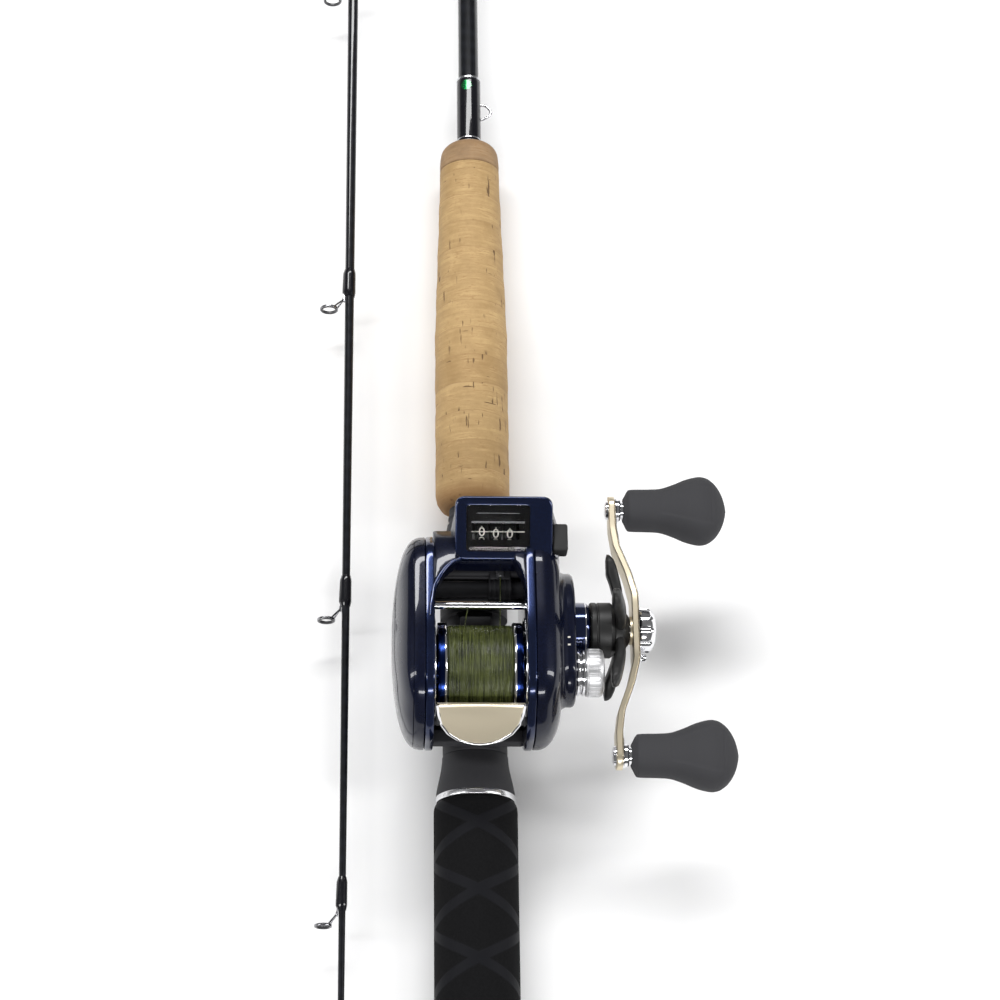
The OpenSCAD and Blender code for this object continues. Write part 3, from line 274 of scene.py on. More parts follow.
@dataclass(frozen=True)
class Finish:
    """A surface finish: its plain values, and the pattern that its subclass adds.

    Attributes:
        name: name of the material.
        slot: the record's material slot; not used.
        colour: main colour, linear.
        rough: roughness.
        metal: metallic share.
        coat: strength of a clear coat.
        spread: how much handling changes the roughness.
        bump: height of the fine relief, in metres.
        second: colour that the pattern mixes in.
        coat_rough: roughness of that coat.
        sheen: weight of a soft sheen.
        spec: specular level of the base.
    """

    name: str
    slot: str
    colour: Colour
    rough: float = 0.4
    metal: float = 0.0
    coat: float = 0.0
    spread: float = 0.12
    bump: float = 0.00001
    second: Optional[Colour] = None
    coat_rough: float = 0.04
    sheen: float = 0.0
    spec: float = 0.5

    def material(self) -> bpy.types.Material:
        """The Blender material, made the first time it is asked for."""
        found = bpy.data.materials.get(self.name)
        if found:
            return found
        made = bpy.data.materials.new(self.name)
        made.use_nodes = True
        made.diffuse_color = (*self.colour, 1.0)
        graph = Graph(made.node_tree)
        shader = made.node_tree.nodes["Principled BSDF"]
        shader.inputs["Base Color"].default_value = (*self.colour, 1.0)
        shader.inputs["Metallic"].default_value = self.metal
        shader.inputs["Coat Weight"].default_value = self.coat
        shader.inputs["Coat Roughness"].default_value = self.coat_rough
        shader.inputs["Sheen Weight"].default_value = self.sheen
        shader.inputs["Specular IOR Level"].default_value = self.spec
        self.dress(graph, shader)
        return made

    def where(self, graph: Graph) -> Socket:
        """Place on the surface, in the row frame."""
        return graph.add("ShaderNodeTexCoord").outputs["Object"]

    def handled(self, graph: Graph, shader: Node) -> Socket:
        """Add the marks of handling.

        Args:
            graph: the material's graph.
            shader: its Principled shader.

        Returns:
            Height of the fine rubbing.
        """
        marks = graph.add("ShaderNodeGroup", node_tree=HANDLING)
        marks.inputs["Roughness"].default_value = self.rough
        marks.inputs["Spread"].default_value = self.spread
        graph.link(marks.outputs["Roughness"], shader.inputs["Roughness"])
        return marks.outputs["Height"]

    def tinted(self, graph: Graph, shader: Node, share: Socket) -> None:
        """Mix the second colour into the first by a share."""
        graph.link(graph.mix(share, self.colour, self.second or self.colour), shader.inputs["Base Color"])

    def raised(self, graph: Graph, shader: Node, height: Socket, depth: float) -> None:
        """Turn a height into relief of that depth, in metres."""
        relief = graph.add("ShaderNodeBump", {"Height": height, "Distance": depth, "Strength": 1.0})
        graph.link(relief.outputs[0], shader.inputs["Normal"])

    def dress(self, graph: Graph, shader: Node) -> None:
        """Add this finish's pattern."""
        height = self.handled(graph, shader)
        self.raised(graph, shader, height, self.bump)
        if self.second:
            patch = graph.ramp(graph.noise(self.where(graph), 160.0, 3.0), 0.3, 0.75)
            self.tinted(graph, shader, patch)


@dataclass(frozen=True)
class Grained(Finish):
    """Rubber, foam or moulded plastic with a fine grain."""

    grain: float = 1500.0

    def dress(self, graph: Graph, shader: Node) -> None:
        """Add the grain, its shade and its relief."""
        self.handled(graph, shader)
        cells = graph.add("ShaderNodeGroup", node_tree=GRAIN)
        cells.inputs["Scale"].default_value = self.grain
        self.raised(graph, shader, cells.outputs["Height"], self.bump)
        lighter = self.second or tuple(min(1.0, c * 1.5) for c in self.colour)
        graph.link(graph.mix(cells.outputs["Mask"], self.colour, lighter), shader.inputs["Base Color"])


@dataclass(frozen=True)
class DiamondFoam(Grained):
    """Foam grip with two families of smoother bands that cross round it.

    Attributes:
        pitch: distance between crossings, in millimetres.
        phase: share of a pitch by which the bands are moved along the rod.
    """

    pitch: float = 27.0
    phase: float = 0.0

    def dress(self, graph: Graph, shader: Node) -> None:
        """Add the crossing bands over the foam's grain."""
        Grained.dress(self, graph, shader)
        parts = graph.add("ShaderNodeSeparateXYZ", {0: self.where(graph)}).outputs
        turn = graph.maths("DIVIDE", graph.maths("ARCTAN2", parts[0], parts[2]), pi)
        along = graph.plus(graph.maths("DIVIDE", parts[1], self.pitch * MM), self.phase)
        bands = []
        for sign in (1.0, -1.0):
            lane = graph.plus(along, graph.times(turn, sign))
            off = graph.maths("ABSOLUTE", graph.minus(graph.maths("FRACT", lane), 0.5))
            bands.append(graph.ramp(off, 0.40, 0.435))
        band = graph.maths("MAXIMUM", *bands)
        cells = next(n for n in graph.tree.nodes if n.type == "GROUP" and n.node_tree == GRAIN)
        foam = graph.mix(cells.outputs["Mask"], self.colour, tuple(c * 1.35 for c in self.colour))
        graph.link(graph.mix(band, foam, self.second or self.colour), shader.inputs["Base Color"])
        graph.link(graph.maths("MULTIPLY_ADD", band, -0.30, self.rough), shader.inputs["Roughness"])
        height = graph.plus(graph.times(cells.outputs["Height"], 0.25), band)
        self.raised(graph, shader, height, self.bump)


@dataclass(frozen=True)
class Cork(Finish):
    """Cork rings glued side by side, each with its own shade, pits and streaks."""

    ring: float = 12.6
    start: float = 233.2
    pits: float = 1.0

    def dress(self, graph: Graph, shader: Node) -> None:
        """Add the rings, growth lines, pits and darker heel."""
        where = self.where(graph)
        parts = graph.add("ShaderNodeSeparateXYZ", {0: where}).outputs
        warp = graph.times(graph.minus(graph.noise(where, 90.0, 2.0), 0.5), 0.0012)
        along = graph.plus(graph.minus(parts[1], self.start * MM), warp)
        rings = graph.maths("DIVIDE", along, self.ring * MM)
        number = graph.maths("FLOOR", rings)
        own = graph.add("ShaderNodeTexWhiteNoise", {"W": number}, noise_dimensions="1D").outputs[0]
        moved = graph.add("ShaderNodeCombineXYZ", {0: graph.times(own, 3.0), 1: own, 2: number}).outputs[0]
        place = graph.add("ShaderNodeVectorMath", {0: where, 1: moved}, operation="ADD").outputs[0]
        cloud = graph.noise(place, 130.0, 5.0, 0.65)
        speck = graph.noise(place, 900.0, 3.0, 0.7)
        growth = graph.noise(graph.stretch(place, (60.0, 700.0, 60.0)), 1.0, 3.0, 0.6)
        shade = graph.plus(graph.times(cloud, 0.62), graph.times(own, 0.13))
        shade = graph.plus(shade, graph.times(growth, 0.32))
        colour = graph.mix(graph.ramp(shade, 0.25, 0.9), self.colour, self.second or self.colour)
        fleck = graph.ramp(speck, 0.56, 0.72)
        colour = graph.mix(graph.times(fleck, 0.35), colour, (0.36, 0.20, 0.09))
        year = graph.maths("ABSOLUTE", graph.minus(growth, 0.5))
        year = graph.times(graph.ramp(year, 0.035, 0.005), graph.ramp(cloud, 0.45, 0.62))
        colour = graph.mix(graph.times(year, 0.45), colour, (0.26, 0.135, 0.05))
        edge = graph.maths("ABSOLUTE", graph.minus(graph.maths("FRACT", rings), 0.5))
        joint = graph.ramp(edge, 0.482, 0.497)
        colour = graph.mix(graph.times(joint, 0.35), colour, (0.30, 0.17, 0.075))
        streak = graph.noise(graph.stretch(place, (620.0, 95.0, 620.0)), 1.0, 2.5, 0.55)
        patch = graph.ramp(graph.noise(place, 75.0, 1.0), 0.44, 0.54)
        pit = graph.times(graph.ramp(streak, 0.635, 0.68), patch)
        cross = graph.noise(graph.stretch(place, (120.0, 900.0, 120.0)), 1.0, 1.0)
        pit = graph.maths("MAXIMUM", pit, graph.times(graph.ramp(cross, 0.735, 0.77), patch))
        pit = graph.times(pit, self.pits)
        colour = graph.mix(graph.times(pit, 0.8), colour, (0.085, 0.043, 0.020))
        heel = graph.ramp(parts[1], (self.start + 1.0) * MM, (self.start + 10.0) * MM, 0.7, 0.0)
        colour = graph.mix(heel, colour, (0.26, 0.125, 0.045))
        graph.link(colour, shader.inputs["Base Color"])
        graph.link(graph.ramp(shade, 0.2, 0.9, 0.55, 0.8), shader.inputs["Roughness"])
        height = graph.minus(graph.times(speck, 0.25), graph.maths("MAXIMUM", pit, graph.times(joint, 0.3)))
        self.raised(graph, shader, height, self.bump)


@dataclass(frozen=True)
class Blank(Finish):
    """Graphite blank under clear lacquer, with the faint slant of its wrapped cloth."""

    def dress(self, graph: Graph, shader: Node) -> None:
        """Add the cloth's slanted bands and the lacquer's ripple."""
        where = self.where(graph)
        self.handled(graph, shader)
        parts = graph.add("ShaderNodeSeparateXYZ", {0: where}).outputs
        turn = graph.maths("DIVIDE", graph.maths("ARCTAN2", parts[0], parts[2]), 2 * pi)
        lane = graph.plus(graph.times(parts[1], 160.0), turn)
        band = graph.maths("SINE", graph.times(lane, 2 * pi))
        fibre = graph.noise(graph.stretch(where, (2500.0, 150.0, 2500.0)), 1.0, 2.0)
        shade = graph.maths("MULTIPLY_ADD", band, 0.12, fibre)
        self.tinted(graph, shader, graph.ramp(shade, 0.3, 0.8))
        self.raised(graph, shader, graph.noise(where, 220.0, 1.0), self.bump)


@dataclass(frozen=True)
class Threaded(Finish):
    """Thread wrap under epoxy."""

    turns: float = 3200.0

    def dress(self, graph: Graph, shader: Node) -> None:
        """Add the thread's turns below the gloss."""
        self.handled(graph, shader)
        turns = graph.add("ShaderNodeGroup", node_tree=TURNS)
        turns.inputs["Turns per metre"].default_value = self.turns
        self.tinted(graph, shader, turns.outputs["Mask"])
        self.raised(graph, shader, turns.outputs["Height"], self.bump)


@dataclass(frozen=True)
class Brushed(Finish):
    """Metal with fine turned lines round an axis across the reel."""

    def dress(self, graph: Graph, shader: Node) -> None:
        """Add the lines that turning leaves."""
        self.handled(graph, shader)
        lines = graph.noise(graph.stretch(self.where(graph), (9000.0, 90.0, 90.0)), 1.0, 2.0)
        self.raised(graph, shader, lines, self.bump)
        if self.second:
            self.tinted(graph, shader, lines)


@dataclass(frozen=True)
class Flake(Finish):
    """Lacquer over fine metal flake."""

    def dress(self, graph: Graph, shader: Node) -> None:
        """Add the flake's sparkle and the lacquer's marks."""
        self.handled(graph, shader)
        where = self.where(graph)
        cell = graph.add("ShaderNodeTexVoronoi", {"Vector": where, "Scale": 5200.0}).outputs["Color"]
        spark = graph.add("ShaderNodeSeparateColor", {0: cell}).outputs[0]
        shade = graph.maths("MULTIPLY_ADD", graph.noise(where, 40.0), 0.4, graph.times(spark, 0.6))
        self.tinted(graph, shader, graph.ramp(shade, 0.2, 0.9))
        self.raised(graph, shader, graph.noise(where, 300.0), self.bump)


@dataclass(frozen=True)
class Braid(Finish):
    """Braided line, each strand picked out by its own shade along the spool."""

    def dress(self, graph: Graph, shader: Node) -> None:
        """Add the shade of single turns, worn places and the plait's relief."""
        where = self.where(graph)
        strand = graph.noise(graph.stretch(where, (2600.0, 55.0, 55.0)), 1.0, 2.0, 0.6)
        worn = graph.noise(graph.stretch(where, (120.0, 160.0, 160.0)), 1.0, 3.0)
        shade = graph.maths("MULTIPLY_ADD", worn, 0.35, graph.times(strand, 0.75))
        self.tinted(graph, shader, graph.ramp(shade, 0.38, 0.78))
        self.handled(graph, shader)
        self.raised(graph, shader, graph.noise(where, 4200.0, 2.0), self.bump)


@dataclass(frozen=True)
class Clear(Finish):
    """Clear moulded plastic."""

    def dress(self, graph: Graph, shader: Node) -> None:
        """Let light through, with faint marks of handling."""
        shader.inputs["Transmission Weight"].default_value = 1.0
        shader.inputs["IOR"].default_value = 1.2
        self.handled(graph, shader)


BLANK = Blank("black_graphite", "graphite_blank", (0.004, 0.0045, 0.006), 0.35, coat=0.7, bump=0.00002,
        second=(0.009, 0.010, 0.014), spec=0.1)
FOAM = DiamondFoam("diamond_foam", "eva_foam", (0.0055, 0.0055, 0.006), 0.82, bump=0.00012,
        second=(0.0080, 0.0082, 0.0102), grain=1900.0, pitch=25.6, phase=0.0519, spec=0.08)
CAP_RUBBER = Grained("cap_rubber", "cap_rubber", (0.012, 0.012, 0.012), 0.7, bump=0.00003, spec=0.25)
SATIN = Brushed("satin_silver", "satin_metal", (0.74, 0.74, 0.76), 0.24, 1.0, bump=0.00001,
        second=(0.86, 0.86, 0.87))
SEAT = Grained("seat_black", "seat_black", (0.003, 0.003, 0.0034), 0.36, bump=0.00001, grain=3000.0,
        spec=0.16)
CORK = Cork("cork_rings", "cork", (0.34, 0.212, 0.088), second=(0.60, 0.415, 0.200), bump=0.00016, spec=0.25)
CORK_TOP = Cork("composite_cork", "cork_composite", (0.20, 0.122, 0.062), second=(0.44, 0.295, 0.165),
        ring=300.0, start=100.0, pits=0.0, bump=0.00012, spec=0.25)
WRAP = Threaded("black_thread", "thread_wrap", (0.003, 0.003, 0.005), 0.3, coat=0.7, bump=0.000012,
        second=(0.006, 0.006, 0.009), spec=0.1)
FOIL_GREEN = Threaded("green_foil", "thread_wrap", (0.0, 0.10, 0.025), 0.2, 0.9, coat=1.0, bump=0.00002,
        second=(0.01, 0.34, 0.09))
FOIL_SILVER = Threaded("silver_thread", "thread_wrap", (0.35, 0.36, 0.38), 0.2, 0.9, coat=1.0, bump=0.00002,
        second=(0.72, 0.73, 0.75))
GUIDE = Finish("dark_steel", "guide_frame", (0.20, 0.20, 0.215), 0.22, 1.0, second=(0.36, 0.36, 0.37))
CERAMIC = Finish("guide_ceramic", "guide_ceramic", (0.035, 0.034, 0.036), 0.12, coat=1.0,
        second=(0.055, 0.053, 0.055))
NAVY = Flake("navy_cover", "reel_blue", (0.0012, 0.0020, 0.0085), 0.30, 0.2, 0.62, bump=0.000006,
        second=(0.0035, 0.0065, 0.026), coat_rough=0.04, spec=0.12)
# Lighter, more metallic copy of the navy lacquer for plate rims, bead and bezel: its extra brightness is a
# painted highlight.
NAVY_RIM_PAINTED_HIGHLIGHT = Flake("blue_rim_painted_highlight", "reel_blue", (0.0035, 0.0085, 0.036), 0.24, 0.8, 0.8, bump=0.000006,
        second=(0.009, 0.021, 0.082), coat_rough=0.04)
BLACK = Finish("reel_black", "reel_black", (0.003, 0.003, 0.0038), 0.26, coat=0.45,
        second=(0.005, 0.005, 0.0065), spec=0.15)
BLACK_DULL = Grained("reel_dull_black", "reel_black", (0.005, 0.005, 0.0055), 0.6, grain=2500.0, spec=0.12)
PANEL = Finish("panel_black", "digit_black", (0.003, 0.003, 0.003), 0.35, second=(0.006, 0.006, 0.006),
        spec=0.2)
DIGIT = Finish("digit_pale", "digit_black", (0.78, 0.75, 0.68), 0.5, second=(0.62, 0.60, 0.54), spec=0.2)
LENS = Clear("clear_window", "window", (0.96, 0.97, 0.98), 0.02, spread=0.015, spec=0.3)
BUTTON = Grained("button_black", "button_black", (0.004, 0.004, 0.0045), 0.42, grain=2600.0, spec=0.1)
CHROME = Finish("chrome", "chrome", (0.90, 0.90, 0.91), 0.06, 1.0, bump=0.000004, spread=0.05)
STEEL = Brushed("bright_steel", "steel", (0.60, 0.60, 0.62), 0.2, 1.0, second=(0.72, 0.72, 0.73))
CHAMPAGNE = Finish("champagne", "champagne", (0.30, 0.245, 0.170), 0.22, 1.0, bump=0.000004,
        second=(0.42, 0.355, 0.265), spread=0.1)
SPOOL_BLUE = Brushed("anodised_blue", "spool_blue", (0.006, 0.014, 0.070), 0.16, 1.0,
        second=(0.012, 0.028, 0.13))
LINE = Braid("olive_braid", "braid", (0.010, 0.014, 0.0035), 0.30, bump=0.00006,
        second=(0.125, 0.145, 0.040), spread=0.15, spec=0.45)
# Darker, duller copy of the braid for the core under the windings: painted shade between the turns.
BRAID_PAINTED_SHADE = Braid("olive_braid_painted_shade", "braid", (0.008, 0.011, 0.003), 0.6, bump=0.00006,
        second=(0.05, 0.057, 0.020), spec=0.2)
BRASS = Brushed("brass", "brass", (0.55, 0.38, 0.14), 0.3, 1.0, second=(0.66, 0.48, 0.20))
NYLON = Grained("nylon", "nylon", (0.62, 0.59, 0.50), 0.5)
CARBON = Grained("drag_fibre", "washer_fibre", (0.02, 0.017, 0.014), 0.6, grain=1200.0)
STAR = Finish("star_black", "star_black", (0.005, 0.005, 0.0055), 0.24, coat=0.35, spread=0.15,
        second=(0.009, 0.009, 0.010), spec=0.2)
KNOB = Grained("knob_rubber", "knob_rubber", (0.0050, 0.0055, 0.0062), 0.46, bump=0.00002, grain=2200.0,
        second=(0.0085, 0.0092, 0.0100), spec=0.14)
RED = Finish("index_red", "digit_black", (0.55, 0.012, 0.01), 0.4, coat=0.3, second=(0.4, 0.01, 0.01))
COLLAR = Brushed("collar_blue", "reel_blue", (0.006, 0.014, 0.060), 0.12, 0.8, 1.0, bump=0.000004,
        second=(0.010, 0.024, 0.10))
CAP_METAL = Brushed("cap_satin_silver", "chrome", (0.62, 0.62, 0.63), 0.46, 1.0, second=(0.80, 0.80, 0.81))
FLOOR = Finish("studio_floor", "", (0.955, 0.955, 0.955), 0.8, second=(0.95, 0.95, 0.955), spec=0.2)


# Shapes


class Shape:
    """Points and faces of a piece in millimetres, before it becomes a mesh."""

    def __init__(self) -> None:
        """Start empty."""
        self.points: list[Point] = []
        self.faces: list[tuple[int, ...]] = []

    def add(self, points: Sequence[Sequence[float]], faces: Sequence[Sequence[int]]) -> "Shape":
        """Take in more points and faces, numbered from 0, and return this shape."""
        base = len(self.points)
        self.points += [tuple(p) for p in points]
        self.faces += [tuple(base + i for i in f) for f in faces]
        return self

    def join(self, *others: "Shape") -> "Shape":
        """Take in other shapes and return this one."""
        for other in others:
            self.add(other.points, other.faces)
        return self

    def moved(self, how: Matrix) -> "Shape":
        """A copy carried by a matrix."""
        return Shape().add([tuple(how @ Vector(p)) for p in self.points], self.faces)


def soften(outline: Sequence[Pair], radius: float, steps: int = 4, closed: bool = True) -> list[Pair]:
    """Round the corners of an outline.

    Args:
        outline: its corners.
        radius: how far from a corner the curve starts.
        steps: pieces in each curve.
        closed: False keeps the two ends as they are.

    Returns:
        The rounded outline.
    """
    out: list[Pair] = []
    count = len(outline)
    for i, b in enumerate(outline):
        if not closed and i in (0, count - 1):
            out.append(b)
            continue
        corner = Vector(b)
        arms = []
        for other in (outline[i - 1], outline[(i + 1) % count]):
            arm = Vector(other) - corner
            arms.append(corner + arm * min(radius / max(arm.length, 1e-9), 0.45))
        for k in range(steps + 1):
            t = k / steps
            out.append(tuple(arms[0] * (1 - t) ** 2 + corner * (2 * t * (1 - t)) + arms[1] * t * t))
    return out


def loft(rings: Sequence[Sequence[Point]], caps: bool = True, loop: bool = False) -> Shape:
    """Skin a row of rings that have the same number of points.

    Args:
        rings: the rings, in order.
        caps: close both ends with a fan.
        loop: join the last ring to the first instead.

    Returns:
        The skin.
    """
    n = len(rings[0])
    points = [p for ring in rings for p in ring]
    faces = []
    for r in range(len(rings) - (0 if loop else 1)):
        a, b = r * n, ((r + 1) % len(rings)) * n
        faces += [(a + i, a + (i + 1) % n, b + (i + 1) % n, b + i) for i in range(n)]
    shape = Shape().add(points, faces)
    if caps and not loop:
        for base, ring in ((0, rings[0]), ((len(rings) - 1) * n, rings[-1])):
            middle = sum((Vector(p) for p in ring), Vector()) / n
            hub = len(shape.points)
            shape.points.append(tuple(middle))
            shape.faces += [(base + i, base + (i + 1) % n, hub) for i in range(n)]
    return shape


def turned(profile: Sequence[Pair], axis: Axis, centre: Pair = (0.0, 0.0), steps: int = 96,
        loop: bool = True, round_by: float = 0.0) -> Shape:
    """Turn a profile of (radius, station) about an axis.

    Args:
        profile: the profile, all round where loop is True, or from pole to pole where it is False.
        axis: the axis's direction.
        centre: the axis's place in the other two coordinates, in their order.
        steps: faces round the axis.
        loop: whether the profile closes on itself.
        round_by: how far its corners are rounded.

    Returns:
        The turned shape.
    """
    points = soften(profile, round_by, 3, loop) if round_by else list(profile)
    rings = []
    for radius, station in points:
        ring = []
        for k in range(steps):
            a = 2 * pi * k / steps
            flat = [centre[0] + radius * sin(a), centre[1] + radius * cos(a)]
            flat.insert(axis.value, station)
            ring.append(tuple(flat))
        rings.append(ring)
    return loft(rings, caps=False, loop=loop)


def tube(path: Sequence[Sequence[float]], radius: float, sides: int = 16, ends: bool = True) -> Shape:
    """Sweep a round wire along a path.

    Args:
        path: its points, in millimetres.
        radius: the wire's radius.
        sides: faces round the wire.
        ends: whether to close both ends.

    Returns:
        The wire.
    """
    points = [Vector(p) for p in path]
    side = None
    rings = []
    for i, p in enumerate(points):
        along = (points[min(i + 1, len(points) - 1)] - points[max(i - 1, 0)]).normalized()
        if side is None:
            side = along.orthogonal().normalized()
        side = (side - along * side.dot(along)).normalized()
        other = along.cross(side)
        turns = [2 * pi * k / sides for k in range(sides)]
        rings.append([tuple(p + (side * cos(a) + other * sin(a)) * radius) for a in turns])
    return loft(rings, caps=ends)


def smooth_path(points: Sequence[Sequence[float]], per: int = 8) -> list[Vector]:
    """A Catmull-Rom curve through some points.

    Args:
        points: the points.
        per: steps between each two of them.

    Returns:
        Points along the curve.
    """
    p = [Vector(q) for q in points]
    p = [p[0] * 2 - p[1]] + p + [p[-1] * 2 - p[-2]]
    out = []
    for i in range(1, len(p) - 2):
        for k in range(per):
            t = k / per
            out.append(0.5 * ((2 * p[i]) + (p[i + 1] - p[i - 1]) * t
                    + (2 * p[i - 1] - 5 * p[i] + 4 * p[i + 1] - p[i + 2]) * t * t
                    + (3 * p[i] - p[i - 1] - 3 * p[i + 1] + p[i + 2]) * t ** 3))
    return out + [p[-2]]


def pin(radius: float, x0: float, x1: float, centre: Pair, steps: int) -> Shape:
    """Round pin across the reel, from x0 to x1, about a centre given as (forward, up)."""
    return turned([(0, x0), (radius, x0), (radius, x1), (0, x1)], Axis.ACROSS, centre, steps, False)


def closed_sheet(top: Sequence[Point], low: Sequence[Point], rows: int, columns: int) -> Shape:
    """Thin plate between two grids of points.

    Args:
        top: points of its upper side, row by row.
        low: points of its lower side, in the same order.
        rows: cells along the grid.
        columns: cells across it.

    Returns:
        The plate, with its edge closed.
    """
    n = columns + 1
    cells = [(r * n + i, r * n + i + 1, (r + 1) * n + i + 1, (r + 1) * n + i) for r in range(rows)
            for i in range(columns)]
    shape = Shape().add(top, cells)
    shape.add(low, [tuple(reversed(cell)) for cell in cells])
    edge = list(range(n)) + [r * n + columns for r in range(1, rows + 1)]
    edge += [rows * n + i for i in range(columns - 1, -1, -1)] + [r * n for r in range(rows - 1, 0, -1)]
    for here, there in zip(edge, edge[1:] + edge[:1]):
        shape.faces.append((here, there, len(top) + there, len(top) + here))
    return shape


def slab(outline: Sequence[Pair], x0: float, x1: float) -> Shape:
    """Plate across the reel with a (forward, up) outline, from x0 to x1."""
    return loft([[(x, p[0], p[1]) for p in outline] for x in (x0, x1)])


def block(lo: Sequence[float], hi: Sequence[float]) -> Shape:
    """Box between two corners."""
    ring = [(lo[0], lo[1]), (hi[0], lo[1]), (hi[0], hi[1]), (lo[0], hi[1])]
    return Shape().add([(*p, z) for z in (lo[2], hi[2]) for p in ring],
            [(3, 2, 1, 0), (4, 5, 6, 7), (0, 1, 5, 4), (1, 2, 6, 5), (2, 3, 7, 6), (3, 0, 4, 7)])


def rounded_plate(width: float, depth: float, corner: float, layers: Sequence[Pair], steps: int = 8) -> Shape:
    """Flat plate with rounded corners, as a stack of outlines.

    Args:
        width: size along x.
        depth: size along y.
        corner: corner radius.
        layers: (inset, height) of each outline, bottom to top.
        steps: pieces in each corner.

    Returns:
        The plate, centred on the origin.
    """
    rings = []
    for inset, height in layers:
        w, d = width / 2 - inset, depth / 2 - inset
        box = [(-w, -d), (w, -d), (w, d), (-w, d)]
        rings.append([(p[0], p[1], height) for p in soften(box, max(0.3, corner - inset), steps)])
    return loft(rings)


def build(name: str, shape: Shape, bevel: float = 0.0, sharp: float = 38.0) -> Piece:
    """Make a smooth, outward-facing mesh object.

    Args:
        name: name of the piece.
        shape: its points and faces, in millimetres.
        bevel: width of its rounded edges, in millimetres.
        sharp: angle in degrees past which an edge stays sharp.

    Returns:
        The object, at the origin.
    """
    mesh = bpy.data.meshes.new(name)
    mesh.from_pydata([tuple(c * MM for c in p) for p in shape.points], [], shape.faces)
    work = bmesh.new()
    work.from_mesh(mesh)
    bmesh.ops.remove_doubles(work, verts=work.verts, dist=1e-7)
    bmesh.ops.dissolve_degenerate(work, edges=work.edges, dist=1e-8)
    bmesh.ops.recalc_face_normals(work, faces=work.faces)
    work.to_mesh(mesh)
    work.free()
    obj = bpy.data.objects.new(name, mesh)
    bpy.context.scene.collection.objects.link(obj)
    if bevel:
        edge = obj.modifiers.new("edge", "BEVEL")
        edge.width = bevel * MM
        edge.segments = 3
        edge.limit_method = "ANGLE"
        edge.angle_limit = radians(35)
        settle(obj)
    obj.data.shade_smooth()
    obj.data.set_sharp_from_angle(angle=radians(sharp))
    return obj


def settle(obj: Piece) -> Piece:
    """Turn an object's modifiers into plain mesh and return it."""
    graph = bpy.context.evaluated_depsgraph_get()
    mesh = bpy.data.meshes.new_from_object(obj.evaluated_get(graph), preserve_all_data_layers=True,
            depsgraph=graph)
    obj.modifiers.clear()
    obj.data = mesh
    return obj


def mount(obj: Piece, body: str, finish: Finish, *nodes: str) -> Piece:
    """Give a finished piece its material and its body.

    Args:
        obj: the piece.
        body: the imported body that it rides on.
        finish: its finish.
        *nodes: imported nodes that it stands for.

    Returns:
        The piece.
    """
    obj.data.materials.clear()
    obj.data.materials.append(finish.material())
    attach(obj, body)
    if nodes:
        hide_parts(*nodes)
    log.info("%-24s %7d faces on %s%s", obj.name, len(obj.data.polygons), body,
            " for " + ", ".join(nodes) if nodes else "")
    return obj


def refinish(finish: Finish, *nodes: str) -> None:
    """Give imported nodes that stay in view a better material."""
    for node in nodes:
        data = frame["nodes"][node].data
        data.materials.clear()
        data.materials.append(finish.material())
        log.info("%-24s packed mesh in %s", node, finish.name)


# Geometry node trees


